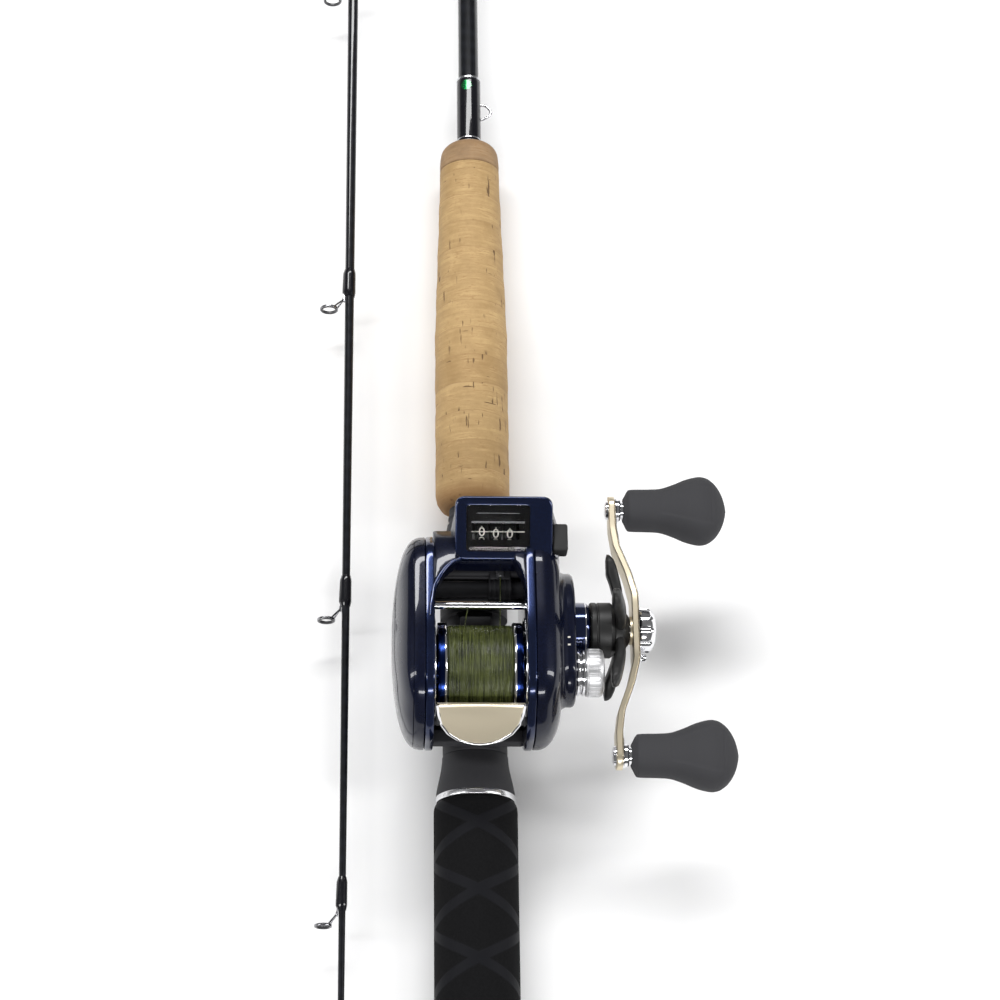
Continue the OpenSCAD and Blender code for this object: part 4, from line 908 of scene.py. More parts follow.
class Repeat:
    """Geometry trees that repeat a shape, built once and run through a modifier."""

    _trees: dict[str, Tree] = {}
    _kinds = {int: "NodeSocketInt", float: "NodeSocketFloat", tuple: "NodeSocketVector"}

    @classmethod
    def _tree(cls, name: str, inputs: dict[str, Any], fill: Callable[[Graph, Node], Any]) -> Tree:
        """Find or build a tree that ends in Realize Instances and Set Material."""
        if name in cls._trees:
            return cls._trees[name]
        tree = bpy.data.node_groups.new(name, "GeometryNodeTree")
        tree.interface.new_socket("Geometry", in_out="INPUT", socket_type="NodeSocketGeometry")
        for key, value in inputs.items():
            made = tree.interface.new_socket(key, in_out="INPUT", socket_type=cls._kinds[type(value)])
            made.default_value = value
        tree.interface.new_socket("Material", in_out="INPUT", socket_type="NodeSocketMaterial")
        tree.interface.new_socket("Geometry", in_out="OUTPUT", socket_type="NodeSocketGeometry")
        graph = Graph(tree)
        given = graph.add("NodeGroupInput")
        solid = graph.add("GeometryNodeRealizeInstances", {0: fill(graph, given)}).outputs[0]
        dressed = graph.add("GeometryNodeSetMaterial", {"Geometry": solid,
                "Material": given.outputs["Material"]})
        graph.add("NodeGroupOutput", {0: dressed.outputs[0]})
        cls._trees[name] = tree
        return tree

    @staticmethod
    def _run(obj: Piece, tree: Tree, values: dict[str, Any], sharp: float) -> Piece:
        """Run a tree on an object with values set by socket identifier, and settle it."""
        modifier = obj.modifiers.new(tree.name, "NODES")
        modifier.node_group = tree
        for item in tree.interface.items_tree:
            if item.in_out == "INPUT" and item.name in values:
                modifier[item.identifier] = values[item.name]
        settle(obj)
        obj.data.shade_smooth()
        obj.data.set_sharp_from_angle(angle=radians(sharp))
        return obj

    @classmethod
    def round_axis(cls, obj: Piece, count: int, axis: Axis, centre: Point, finish: Finish,
            turn: float = 360.0) -> Piece:
        """Repeat a piece round an axis.

        Args:
            obj: one copy, in place.
            count: number of copies.
            axis: direction of the axis.
            centre: a point on the axis, in millimetres.
            finish: material of the copies.
            turn: degrees that the copies share.

        Returns:
            The piece with all its copies.
        """
        def fill(graph: Graph, given: Node) -> Any:
            """Turn instances of the piece by their number."""
            back = graph.add("ShaderNodeVectorMath", {0: given.outputs["Centre"], 3: -1.0}, operation="SCALE")
            own = graph.add("GeometryNodeTransform", {"Geometry": given.outputs[0],
                    "Translation": back.outputs[0]})
            dots = graph.add("GeometryNodePoints", {"Count": given.outputs["Count"],
                    "Position": given.outputs["Centre"]})
            number = graph.add("GeometryNodeInputIndex").outputs[0]
            angle = graph.times(number, given.outputs["Step"])
            spin = graph.add("ShaderNodeVectorMath", {0: given.outputs["Axis"], 3: angle}, operation="SCALE")
            return graph.add("GeometryNodeInstanceOnPoints", {"Points": dots.outputs[0],
                    "Instance": own.outputs[0], "Rotation": spin.outputs[0]}).outputs[0]

        tree = cls._tree("repeat_round_axis", {"Count": 6, "Step": 1.0, "Axis": (1, 0, 0),
                "Centre": (0, 0, 0)}, fill)
        direction = [0.0, 0.0, 0.0]
        direction[axis.value] = 1.0
        return cls._run(obj, tree, {"Count": count, "Step": radians(turn) / count, "Axis": direction,
                "Centre": [c * MM for c in centre], "Material": finish.material()}, 38.0)

    @classmethod
    def wind(cls, name: str, centre: Point, radius: float, width: float, turns: float, strand: float,
            seed: float, lean: float, finish: Finish) -> Piece:
        """Wind a strand round an axis across the reel, slightly unevenly.

        Args:
            name: name of the piece.
            centre: middle of the winding, in millimetres.
            radius: radius of the winding.
            width: its width.
            turns: number of turns.
            strand: radius of the strand.
            seed: where its unevenness is read.
            lean: largest step aside, in millimetres.
            finish: its material.

        Returns:
            The wound strand.
        """
        def fill(graph: Graph, given: Node) -> Any:
            """Wind a spiral, shake it and give it thickness."""
            spiral = graph.add("GeometryNodeCurveSpiral", {"Resolution": 56,
                    "Rotations": given.outputs["Turns"], "Start Radius": given.outputs["Radius"],
                    "End Radius": given.outputs["Radius"], "Height": given.outputs["Width"]}).outputs[0]
            place = graph.add("GeometryNodeInputPosition").outputs[0]
            moved = graph.add("ShaderNodeVectorMath", {0: place, 1: given.outputs["Seed"]},
                    operation="ADD").outputs[0]
            shake = graph.add("ShaderNodeTexNoise", {"Vector": moved, "Scale": 420.0,
                    "Detail": 2.0}).outputs["Color"]
            shake = graph.add("ShaderNodeVectorMath", {0: shake, 1: (0.5, 0.5, 0.5)},
                    operation="SUBTRACT").outputs[0]
            shake = graph.add("ShaderNodeVectorMath", {0: shake, 1: given.outputs["Lean"]},
                    operation="MULTIPLY").outputs[0]
            uneven = graph.add("GeometryNodeSetPosition", {"Geometry": spiral, "Offset": shake}).outputs[0]
            ring = graph.add("GeometryNodeCurvePrimitiveCircle",
                    {"Resolution": 6, "Radius": given.outputs["Strand"]})
            skin = graph.add("GeometryNodeCurveToMesh", {"Curve": uneven,
                    "Profile Curve": ring.outputs[0]}).outputs[0]
            half = graph.times(given.outputs["Width"], -0.5)
            centred = graph.add("GeometryNodeTransform", {"Geometry": skin,
                    "Translation": graph.add("ShaderNodeCombineXYZ", {2: half}).outputs[0]}).outputs[0]
            across = graph.add("GeometryNodeTransform", {"Geometry": centred, "Rotation": (0.0, pi / 2, 0.0),
                    "Translation": given.outputs["Centre"]}).outputs[0]
            return across

        tree = cls._tree("wind_strand", {"Radius": 0.01, "Width": 0.02, "Turns": 40.0, "Strand": 0.0002,
                "Seed": (0, 0, 0), "Lean": (0, 0, 0), "Centre": (0, 0, 0)}, fill)
        mesh = bpy.data.meshes.new(name)
        obj = bpy.data.objects.new(name, mesh)
        bpy.context.scene.collection.objects.link(obj)
        return cls._run(obj, tree, {"Radius": radius * MM, "Width": width * MM, "Turns": turns,
                "Strand": strand * MM, "Seed": [seed, seed * 0.5, seed * 0.25],
                "Lean": [0.4 * lean * MM, 0.4 * lean * MM, lean * MM], "Centre": [c * MM for c in centre],
                "Material": finish.material()}, 60.0)


# Rod


def at(node: str) -> Any:
    """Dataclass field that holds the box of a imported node."""
    return field(default_factory=lambda: span(node))


@dataclass
class ButtSection:
    """Blank, grips, seat, trim and thread of the butt section, in millimetres."""

    blank: Span = at("butt_blank")
    cap: Span = at("butt_cap")
    grip: Span = at("rear_grip")
    seat: Span = at("reel_seat")
    nut: Span = at("lock_nut")
    cork: Span = at("foregrip")
    cork_top: Span = at("foregrip_cap")
    keeper: Span = at("hook_keeper")
    front_radius: float = 3.35
    bore: float = 2.1
    spigot: float = 50.0
    wrap: float = 33.0
    ring_back: float = 3.0

    def radius(self, y: float) -> float:
        """Outer radius of the blank at a station."""
        t = (y - self.blank.lo.y) / (self.blank.hi.y - self.spigot - self.blank.lo.y)
        return self.blank.hi.x + (self.front_radius - self.blank.hi.x) * t

    def build(self) -> None:
        """Build and dress every piece of the section."""
        self.build_blank()
        self.build_grips()
        self.build_seat()
        self.build_wraps()

    def build_blank(self) -> None:
        """Tapered tube with its spigot."""
        lo, hi = self.blank.lo.y, self.blank.hi.y
        shoulder = hi - self.spigot
        profile = [(self.bore + 1, lo), (self.blank.hi.x, lo), (self.front_radius, shoulder),
                (self.front_radius - 0.05, shoulder + 0.2), (self.front_radius - 0.05, hi - 0.5),
                (self.front_radius - 0.4, hi), (self.bore, hi), (self.bore, shoulder)]
        mount(build("butt_blank_lacquered", turned(profile, Axis.ROD, steps=64)), "rod", BLANK, "butt_blank")

    def build_grips(self) -> None:
        """Butt cap, foam, cork, composite cork and the two trim rings."""
        r, lo = self.cap.hi.x, self.cap.lo.y
        profile = [(0, lo + 0.6), (r * 0.3, lo + 0.6), (r * 0.34, lo), (r * 0.7, lo), (r * 0.9, lo + 1.5),
                (r, lo + 5), (r, lo + 12), (r - 0.5, lo + 12.5), (r, lo + 13), (r, self.cap.hi.y),
                (0, self.cap.hi.y)]
        mount(build("butt_cap_moulded", turned(soften(profile, 0.9, 3, False), Axis.ROD, loop=False), 0, 50),
                "rod", CAP_RUBBER, "butt_cap")
        r, lo, hi = self.grip.hi.x, self.grip.lo.y, self.grip.hi.y - self.ring_back
        profile = [(6, lo), (r - 1.6, lo), (r, lo + 2.2), (r, hi - 2.4), (r - 0.9, hi), (6, hi)]
        mount(build("rear_grip_foam", turned(profile, Axis.ROD, round_by=1.1), 0, 60), "rod", FOAM,
                "rear_grip")
        mount(build("foregrip_cork", self.cork_shape(), 0, 60), "rod", CORK, "foregrip")
        r, lo, hi = self.cork_top.hi.x, self.cork_top.lo.y + 2.6, self.cork_top.hi.y
        profile = [(5, lo), (r, lo), (r, lo + 4.5), (r - 0.5, hi - 3.2), (r - 2.2, hi - 0.9), (r - 4, hi),
                (5, hi)]
        mount(build("foregrip_cap_cork", turned(profile, Axis.ROD, round_by=1.6), 0, 60), "rod", CORK_TOP,
                "foregrip_cap")
        y0, y1 = self.grip.hi.y - self.ring_back, self.seat.lo.y - 1.2 * self.ring_back
        rings = turned([(6, y0), (15.4, y0), (15.4, y1), (6, y1)], Axis.ROD, round_by=0.5)
        y0, y1 = self.cork_top.hi.y, self.cork_top.hi.y + 2
        rings.join(turned([(4.8, y0), (6.5, y0), (5.9, y1), (4.8, y1)], Axis.ROD, round_by=0.4))
        mount(build("trim_rings_polished", rings), "rod", SATIN, "trim_rings")

    def cork_shape(self) -> Shape:
        """Cork sleeve, sanded slightly uneven from ring to ring."""
        lo, hi, r0, r1 = self.cork.lo.y, self.cork.hi.y + 2.6, self.cork.hi.x, self.cork_top.hi.x
        profile = [(6.0, lo), (r0 - 4.6, lo), (r0 - 2.1, lo + 1.2), (r0 - 0.7, lo + 3.6),
                (r0 - 0.15, lo + 6.5)]
        stations = 56
        for k in range(1, stations):
            y = lo + 6.5 + (hi - lo - 6.5) * k / stations
            t = max(0.0, (y - (lo + hi) / 2) / ((hi - lo) / 2))
            wave = 0.10 * sin(y * 0.31) + 0.06 * sin(y * 0.83 + 1.0) - 0.16
            profile.append((r0 + (r1 - r0) * t + wave * min(1.0, (hi - y) / 12), y))
        profile += [(r1, hi), (5.0, hi)]
        return turned(profile, Axis.ROD, steps=112)

    def build_seat(self) -> None:
        """Reel seat with its thread, and the ribbed lock nut."""
        lo, hi, r = self.seat.lo.y, self.seat.hi.y, self.seat.hi.x
        start = lo - 1.2 * self.ring_back
        profile = [(6, start), (r - 0.1, start), (r - 0.15, start + 1.2), (r - 0.6, start + 4.0),
                (r - 1.4, start + 7.6), (r - 2.1, start + 11), (r - 2.45, lo + 10.5), (r - 2.5, lo + 12),
                (10.5, lo + 12), (10.5, lo + 68), (9.4, lo + 68)]
        y = lo + 69.5
        while y < hi - 1.2:
            profile += [(9.4, y - 0.9), (9.8, y - 0.3), (9.8, y + 0.3), (9.4, y + 0.9)]
            y += 3.0
        profile += [(9.4, hi), (5, hi)]
        mount(build("reel_seat_moulded", turned(profile, Axis.ROD), 0, 30), "rod", SEAT, "reel_seat")
        lo, hi, r = self.nut.lo.y, self.nut.hi.y, self.nut.hi.x
        profile = [(9.95, lo), (r - 0.3, lo), (r - 0.3, lo + 2), (r - 0.8, lo + 2.6), (r - 0.8, hi - 7.2),
                (r - 0.3, hi - 6.6), (r - 0.3, hi - 4.6), (r - 1.0, hi), (9.95, hi)]
        mount(build("lock_nut_turned", turned(profile, Axis.ROD, round_by=0.4)), "lock_ring", SEAT,
                "lock_nut")
        rib = build("lock_nut_ribs", block((-1.1, lo + 3, r - 1.0), (1.1, hi - 7.4, r - 0.05)), 0.3)
        mount(Repeat.round_axis(rib, 16, Axis.ROD, (0, 0, 0), SEAT), "lock_ring", SEAT)
        lo, hi = self.seat.lo.y + 12, self.seat.lo.y + 25
        profile = [(10.6, lo), (12.7, lo), (13.2, lo + 1), (13.2, hi - 1.5), (12.3, hi), (10.6, hi)]
        hood = turned(profile, Axis.ROD, round_by=0.6).moved(Matrix.Diagonal((0.945, 1, 1, 1)))
        mount(build("fixed_hood_moulded", hood, 0, 40), "rod", SEAT, "fixed_hood")
        refinish(SEAT, "sliding_hood")

    def build_wraps(self) -> None:
        """Thread ahead of the cork with its trim turns and foil, and the hook keeper."""
        lo = self.cork_top.hi.y + 2
        hi = lo + self.wrap
        r = self.radius(lo) + 0.68
        profile = [(4.9, lo), (r - 0.3, lo), (r, lo + 1.6), (r + 0.02, (lo + hi) / 2), (r, hi - 2.6),
                (r - 0.45, hi), (4.6, hi)]
        wraps = turned(profile, Axis.ROD, round_by=0.5)
        for guide in BUTT_GUIDES:
            wraps.join(*guide.wraps())
        mount(build("butt_wraps_thread", wraps, 0, 60), "rod", WRAP, "butt_wraps")
        for name, y, half in (("trim_turns_front", hi - 1.3, 0.5), ("trim_turns_rear", lo + 1.7, 0.25)):
            band = [(r - 0.2, y - half), (r + 0.03, y - half), (r + 0.03, y + half), (r - 0.2, y + half)]
            mount(build(name, turned(band, Axis.ROD, steps=64)), "rod", FOIL_SILVER)
        mount(build("foil_patch", self.foil(r + 0.05, hi - 5.6, 4.6)), "rod", FOIL_GREEN)
        lo, hi = self.keeper.lo, self.keeper.hi
        foot, top, wire = lo.x - 0.3, hi.x - 0.75, 0.62
        y0, y1 = lo.y + 2.2, hi.y - 1.4
        path = [(foot, y0, 0), (foot + 1.0, y0 + 0.1, 0), (foot + 2.6, y0 + 0.9, 0),
                (top - 0.5, y0 + 2.4, 0), (top, y0 + 3.7, 0), (top - 0.25, y0 + 5.0, 0),
                (top - 1.5, y1 - 0.9, 0), (foot + 2.0, y1 - 0.2, 0), (foot + 0.8, y1, 0), (foot, y1, 0)]
        mount(build("hook_keeper_wire", tube(smooth_path(path, 6), wire, 14), 0, 60), "rod", STEEL,
                "hook_keeper")

    def foil(self, radius: float, y: float, length: float) -> Shape:
        """Small leaf-shaped foil patch laid on the thread."""
        rows, columns = 8, 12
        points = []
        for k in range(rows + 1):
            t = k / rows
            half = 26 * sin(pi * (0.12 + 0.76 * t)) ** 0.8
            for i in range(columns + 1):
                a = radians(-14 - half + 2 * half * i / columns)
                points.append((radius * sin(a), y + length * (t - 0.5), radius * cos(a)))
        inner = [(p[0] * 0.985, p[1], p[2] * 0.985) for p in points]
        return closed_sheet(points, inner, rows, columns)


@dataclass(frozen=True)
class Guide:
    """One line guide on a blank: its ring, holder, legs, foot and the thread over its foot.

    Attributes:
        y: station of the ring's plane.
        ring: inner radius of the ring.
        height: height of the ring's middle over the blank's axis.
        rest: blank radius under its foot.
        double: whether it has a second foot behind the ring.
        x: place of the blank's axis across the rod.
        lean: degrees that it is turned about the blank.
    """

    y: float
    ring: float
    height: float
    rest: float
    double: bool = False
    x: float = 0.0
    lean: float = 0.0

    @property
    def place(self) -> Matrix:
        """Carries the guide from the origin to its place."""
        return Matrix.Translation((self.x, self.y, 0)) @ Matrix.Rotation(radians(self.lean), 4, "Y")

    def frame(self) -> Shape:
        """Holder ring, legs and feet."""
        inner = self.ring + 0.6
        outer = inner + 0.55
        ring = turned([(inner, -0.5), (outer, -0.5), (outer, 0.5), (inner, 0.5)], Axis.ROD,
                (0.0, self.height), 48, round_by=0.22)
        for side in ((1, -1) if self.double else (1,)):
            for leg in (-1, 1):
                a = radians(38 if side > 0 else 62)
                start = (leg * (outer - 0.25) * cos(a), 0.1 * side, self.height - (outer - 0.25) * sin(a))
                end = (leg * 0.35, side * 5.6, self.rest + 0.55)
                low = (leg * 0.42, side * 4.2, self.rest + 0.9)
                mid = tuple((s * 0.45 + e * 0.55) for s, e in zip(start, low))
                ring.join(tube(smooth_path([start, mid, low, end], 5), 0.36, 10))
            foot = [(-0.8, 0.05), (0.8, 0.05), (0.62, 0.72), (-0.62, 0.72)]
            rows = []
            for y, thin in ((3.6, 0.8), (6.0, 1.0), (12.0, 1.0), (17.0, 0.25)):
                rows.append([(p[0] * (0.5 + 0.5 * thin), side * y,
                        self.rest + 0.05 + (p[1] - 0.05) * thin) for p in foot])
            ring.join(loft(rows))
        return ring.moved(self.place)

    def insert(self) -> Shape:
        """Polished ring that the line runs through."""
        t = 0.6
        profile = [(self.ring, -0.35), (self.ring + 0.15, -0.62), (self.ring + t, -0.7),
                (self.ring + t, 0.7), (self.ring + 0.15, 0.62), (self.ring, 0.35)]
        return turned(profile, Axis.ROD, (0.0, self.height), 56, round_by=0.18).moved(self.place)

    def wraps(self) -> list[Shape]:
        """Thread over each foot, humped over the foot and thinned at both ends."""
        out = []
        for side in ((1, -1) if self.double else (1,)):
            rows = []
            for k in range(15):
                t = k / 14
                y = side * (5.8 + 12.8 * t)
                body = min(1.0, 5 * min(t, 1 - t) + 0.25)
                row = []
                for i in range(40):
                    a = 2 * pi * i / 40
                    off = min(a, 2 * pi - a)
                    hump = 0.62 * exp(-(off / 0.42) ** 2) * body * (1 - 0.65 * t)
                    r = self.rest + 0.06 + 0.52 * body + hump
                    row.append((r * sin(a), y, r * cos(a)))
                rows.append(row)
            inside = [[(p[0] * 0.8, p[1], p[2] * 0.8) for p in row] for row in (rows[-1], rows[0])]
            out.append(loft(rows + inside, loop=True).moved(self.place))
        return out


def guide_row(front: float, first: float, last: float, near: float, far: float,
        table: Sequence[Sequence[float]], x: float, lean: float, toward: int) -> list[Guide]:
    """Guides of one section, with the blank's radius read off its taper.

    Args:
        front: station of the ferrule end.
        first: station where the taper starts.
        last: station where it ends.
        near: blank radius at first.
        far: blank radius at last.
        table: (distance from the ferrule end, ring radius, height, 1 for a double foot) of each guide.
        x: place of the blank's axis.
        lean: degrees that the guides are turned about the blank.
        toward: 1 where the thick end of a foot's blank lies behind, -1 where it lies ahead.

    Returns:
        The guides.
    """
    out = []
    for gap, ring, height, double in table:
        y = front - gap
        thick = near + (far - near) * (y - 18 * toward - first) / (last - first)
        out.append(Guide(y, ring, height, thick, bool(double), x, lean))
    return out


BUTT_GUIDES = guide_row(span("butt_blank").hi.y, span("butt_blank").lo.y, span("butt_blank").hi.y - 50, 5.35,
        3.35, ((287, 5, 14.5, 1), (86, 3.6, 11, 0)), 0.0, 0.0, 1)
TIP_X = (span("tip_blank").lo.x + span("tip_blank").hi.x) / 2
TIP_GUIDES = guide_row(span("tip_blank").hi.y, span("tip_blank").lo.y - 2, span("tip_blank").hi.y - 66, 0.85,
        3.3, ((212, 3.4, 10.4, 0), (394, 3, 9.6, 0), (560.5, 2.8, 9, 0), (712.7, 2.6, 8.4, 0),
        (849.6, 2.4, 7.6, 0), (970.8, 2.2, 7, 0), (1077, 2, 6.4, 0)), TIP_X, -90.0, -1)


@dataclass
class TipSection:
    """Blank, ferrule wrap, guides and tip top of the tip section, in millimetres."""

    blank: Span = at("tip_blank")
    top: Span = at("tip_top")
    socket: float = 66.0
    spigot: float = 50.0
    tip_radius: float = 0.86
    root_radius: float = 3.3

    def build(self) -> None:
        """Build and dress every piece of the section."""
        lo, hi, big = self.blank.lo.y, self.blank.hi.y, self.blank.hi.x - TIP_X
        shoulder = hi - self.socket
        bore = big - 1.05
        profile = [(0, lo), (self.tip_radius, lo), (self.root_radius, shoulder), (big, shoulder + 8),
                (big, hi - 0.3), (big - 0.3, hi), (bore, hi), (bore, hi - self.spigot - 2),
                (0, hi - self.spigot - 2)]
        shape = turned(profile, Axis.ROD, (TIP_X, 0.0), 56, False)
        mount(build("tip_blank_lacquered", shape), "tip_section", BLANK, "tip_blank")
        frames, rings, wraps = Shape(), Shape(), Shape()
        for guide in TIP_GUIDES:
            frames.join(guide.frame())
            rings.join(guide.insert())
            wraps.join(*guide.wraps())
        r = big + 0.66
        wraps.join(turned([(big, hi - 26), (r - 0.4, hi - 26), (r, hi - 23), (r, hi - 4), (r - 0.4, hi - 2),
                (big, hi - 2)], Axis.ROD, (TIP_X, 0.0), 56, round_by=0.5))
        mount(build("tip_guide_frames_wire", frames, 0, 50), "tip_section", GUIDE, "tip_guide_frames")
        mount(build("tip_guide_rings_polished", rings, 0, 60), "tip_section", CERAMIC, "tip_guide_rings")
        mount(build("tip_wraps_thread", wraps, 0, 60), "tip_section", WRAP, "tip_wraps")
        band = turned([(r - 0.3, hi - 24.5), (r + 0.03, hi - 24.5), (r + 0.03, hi - 23.7),
                (r - 0.3, hi - 23.7)], Axis.ROD, (TIP_X, 0.0), 48)
        mount(build("tip_trim_turns", band), "tip_section", FOIL_SILVER)
        lo = self.top.lo.y
        cap = turned([(0.9, lo + 2), (1.25, lo + 2), (1.25, lo + 11.5), (0.9, lo + 12)], Axis.ROD,
                (TIP_X, 0.0), 32, round_by=0.1)
        cap.join(turned([(1.8, lo), (2.95, lo), (2.95, lo + 1.6), (1.8, lo + 1.6)], Axis.ROD,
                (TIP_X - 4.2, 0.0), 40, round_by=0.35))
        for side in (-1, 1):
            cap.join(tube(smooth_path([(TIP_X - 4.2, lo + 0.9, side * 2.5),
                    (TIP_X - 2.2, lo + 2.6, side * 1.6), (TIP_X - 0.6, lo + 5.5, side * 0.9)], 5), 0.42, 10))
        mount(build("tip_top_wire", cap, 0, 50), "tip_section", GUIDE, "tip_top")


def build_butt_guides() -> None:
    """Frames and rings of the butt section's two guides."""
    frames, rings = Shape(), Shape()
    for guide in BUTT_GUIDES:
        frames.join(guide.frame())
        rings.join(guide.insert())
    mount(build("butt_guide_frames_wire", frames, 0, 50), "rod", GUIDE, "butt_guide_frames")
    mount(build("butt_guide_rings_polished", rings, 0, 60), "rod", CERAMIC, "butt_guide_rings")


# Reel body


SPOOL = pivot("spool_spin")
CRANK = pivot("crank_turn")
WORM = pivot("worm_spin")
SIDE = ((-19, -30), (-27, -13), (-26.5, 5), (-13, 21.5), (12, 23.5), (44, 19.5), (52, 8), (52, -16),
        (43, -31), (10, -32))
SIDE_MID = (12.5, -4.0)


def side_outline(corner: float, scale: float = 1.0, shrink: float = 0.0, per: int = 6) -> list[Pair]:
    """Outline of the reel's side as (y, z), about the spool's axis.

    Args:
        corner: how far its corners are rounded.
        scale: size about the middle of the side.
        shrink: distance that it is drawn in, about.
        per: steps along each straight.

    Returns:
        Evenly stepped points, in millimetres.
    """
    soft = [Vector(p) for p in soften(SIDE, corner, 8)]
    lengths = [(soft[(i + 1) % len(soft)] - p).length for i, p in enumerate(soft)]
    count = 26 * per
    step, out, i, walked = sum(lengths) / count, [], 0, 0.0
    for k in range(count):
        goal = k * step
        while walked + lengths[i] < goal:
            walked += lengths[i]
            i += 1
        out.append(soft[i].lerp(soft[(i + 1) % len(soft)], (goal - walked) / max(lengths[i], 1e-9)))
    mid = Vector(SIDE_MID)
    factor = scale * (1 - shrink / 34.0)
    return [(SPOOL[0] + (mid + (p - mid) * factor).x, SPOOL[1] + (mid + (p - mid) * factor).y) for p in out]


@dataclass
class ReelBody:
    """Frame, foot, covers and guard bar of the reel, in millimetres."""

    frame: Span = at("reel_frame")
    palm: Span = at("palm_side_cover")
    gear: Span = at("gear_side_cover")
    spool: Span = at("spool")
    guard: Span = at("guard_bar")
    half: float = 17.0
    plate: float = 3.3
    rim: float = 0.7
    crank_boss: float = 21.5
    spool_boss: float = 13.0

    def build(self) -> None:
        """Build and dress the body."""
        self.build_frame()
        self.build_palm_cover()
        self.build_gear_cover()
        r = (self.guard.hi.z - self.guard.mid.z) * 1.5
        x = self.guard.hi.x
        bar = pin(r, -x, x, (self.guard.mid.y, self.guard.mid.z), 40)
        mount(build("guard_bar_polished", bar), "rod", CHROME, "guard_bar")

    def side_plate(self, x0: float, x1: float, hole: float) -> Shape:
        """Plate with rounded rims and a round hole about the spool's axis."""
        outline = side_outline(5)
        inner = side_outline(5, 1, self.rim)
        circle = []
        for y, z in outline:
            out = Vector((y - SPOOL[0], z - SPOOL[1])).normalized() * hole
            circle.append((SPOOL[0] + out.x, SPOOL[1] + out.y))
        mid = [tuple(a * 0.3 + b * 0.7 for a, b in zip(p, q)) for p, q in zip(inner, outline)]
        rows = [(x0, inner), (x0 + self.rim * 0.3, mid), (x0 + self.rim, outline), (x1 - self.rim, outline),
                (x1 - self.rim * 0.3, mid), (x1, inner), (x1, circle), (x0, circle)]
        return loft([[(x, p[0], p[1]) for p in row] for x, row in rows], loop=True)

    def build_frame(self) -> None:
        """Two side plates in a lighter copy of the navy, its extra brightness a painted highlight along their
        rims, and the black bars between them.
        """
        h, t = self.half, self.plate
        flange = self.spool.hi.z - SPOOL[1] + 0.45
        plates = self.side_plate(-h - t, -h, flange).join(self.side_plate(h, h + t, flange - 0.2))
        # Plates in the lighter navy: painted highlight along their rims.
        mount(build("side_plates_lacquered", plates, 0, 30), "rod", NAVY_RIM_PAINTED_HIGHLIGHT, "reel_frame")
        y, z = SPOOL
        deck = z - 18.6 - 1.2
        bars = Shape()
        bars.join(block((-h - 0.1, y - 17, deck - 1.8), (h + 0.1, y + 22, deck)),
                block((-h - 0.1, y + 42, deck - 1.8), (h + 0.1, y + 46, deck + 7.2)),
                block((-h - 0.1, y - 22, deck - 2.8), (h + 0.1, y - 17, deck + 3.2)),
                block((-h - 0.1, y + 40, z + 5.5), (h + 0.1, y + 49, z + 7.5)),
                block((-h - 0.1, y + 34, deck - 1.8), (h + 0.1, y + 54, deck)),
                block((9.5, y + 42.5, deck + 4), (h + 0.1, y + 50, z + 6)),
                block((-6, y - 4, deck - 8.2), (6, y + 30, deck - 1)))
        mount(build("frame_bars", bars, 0.5), "rod", BLACK)
        self.build_shoulders()
        rings = Shape()
        for x, side in ((-h - 0.02, 1), (h + 0.02, -1)):
            rings.join(turned([(flange + 0.2, x), (flange + 1.5, x), (flange + 1.2, x + 0.5 * side),
                    (flange + 0.5, x + 0.5 * side)], Axis.ACROSS, SPOOL, 96, round_by=0.15))
        mount(build("spool_well_rings", rings, 0, 50), "rod", CHROME)
        refinish(BLACK, "reel_foot")
        refinish(STEEL, "reel_screws", "spool_bearings", "spool_shaft")

    def build_shoulders(self) -> None:
        """Curved webs that run from the side plates forward to the counter, with a bead in the lighter navy,
        a painted highlight along the web's edge.
        """
        h, (y, z) = self.half, SPOOL
        table = ((25, 0.6, 20.8, 16.0), (29, 1.8, 20.6, 13.0), (33, 3.8, 20.0, 11.0), (36, 6.4, 19.5, 9.5),
                (38, 8.9, 19.1, 8.4), (44, 9.1, 17.8, 8.0), (48, 9.1, 15.6, 8.0), (52, 8.9, 12.0, 8.0))
        shape = Shape()
        for side, share in ((-1, 1.0), (1, 0.5)):
            rows = []
            for ahead, wide, top, low in table:
                box = [(0, low), (-0.4 - wide * share, low), (-0.4 - wide * share, top), (0, top)]
                rows.append([(side * (h + 0.4 + p[0]), y + ahead, z + p[1]) for p in soften(box, 1.4, 4)])
            shape.join(loft(rows))
        mount(build("frame_shoulders", shape, 0, 50), "rod", NAVY)
        bead = [(-h - 1.6, y + 14, z + 22.6), (-h - 1.2, y + 20, z + 22.0), (-h - 0.5, y + 25, z + 21.0),
                (-h + 1.1, y + 29.2, z + 20.6), (-h + 3.2, y + 33, z + 20.0), (-h + 6.0, y + 36.2, z + 19.4),
                (-h + 9.6, y + 38, z + 18.8)]
        # Bead in the lighter navy: painted highlight along the web's edge.
        mount(build("shoulder_bead", tube(smooth_path(bead, 8), 1.0, 14), 0, 60), "rod", NAVY_RIM_PAINTED_HIGHLIGHT)

    def palm_row(self, t: float, shrink: float = 0.0) -> list[Point]:
        """Outline of the palm cover at depth t of its dome, from 0 at the plate to 1."""
        x = self.palm.hi.x + t * (self.palm.lo.x - self.palm.hi.x + 0.05)
        size = sqrt(max(0.0, 1 - 0.97 * t ** 3))
        return [(x, p[0], p[1]) for p in side_outline(7, size, shrink)]

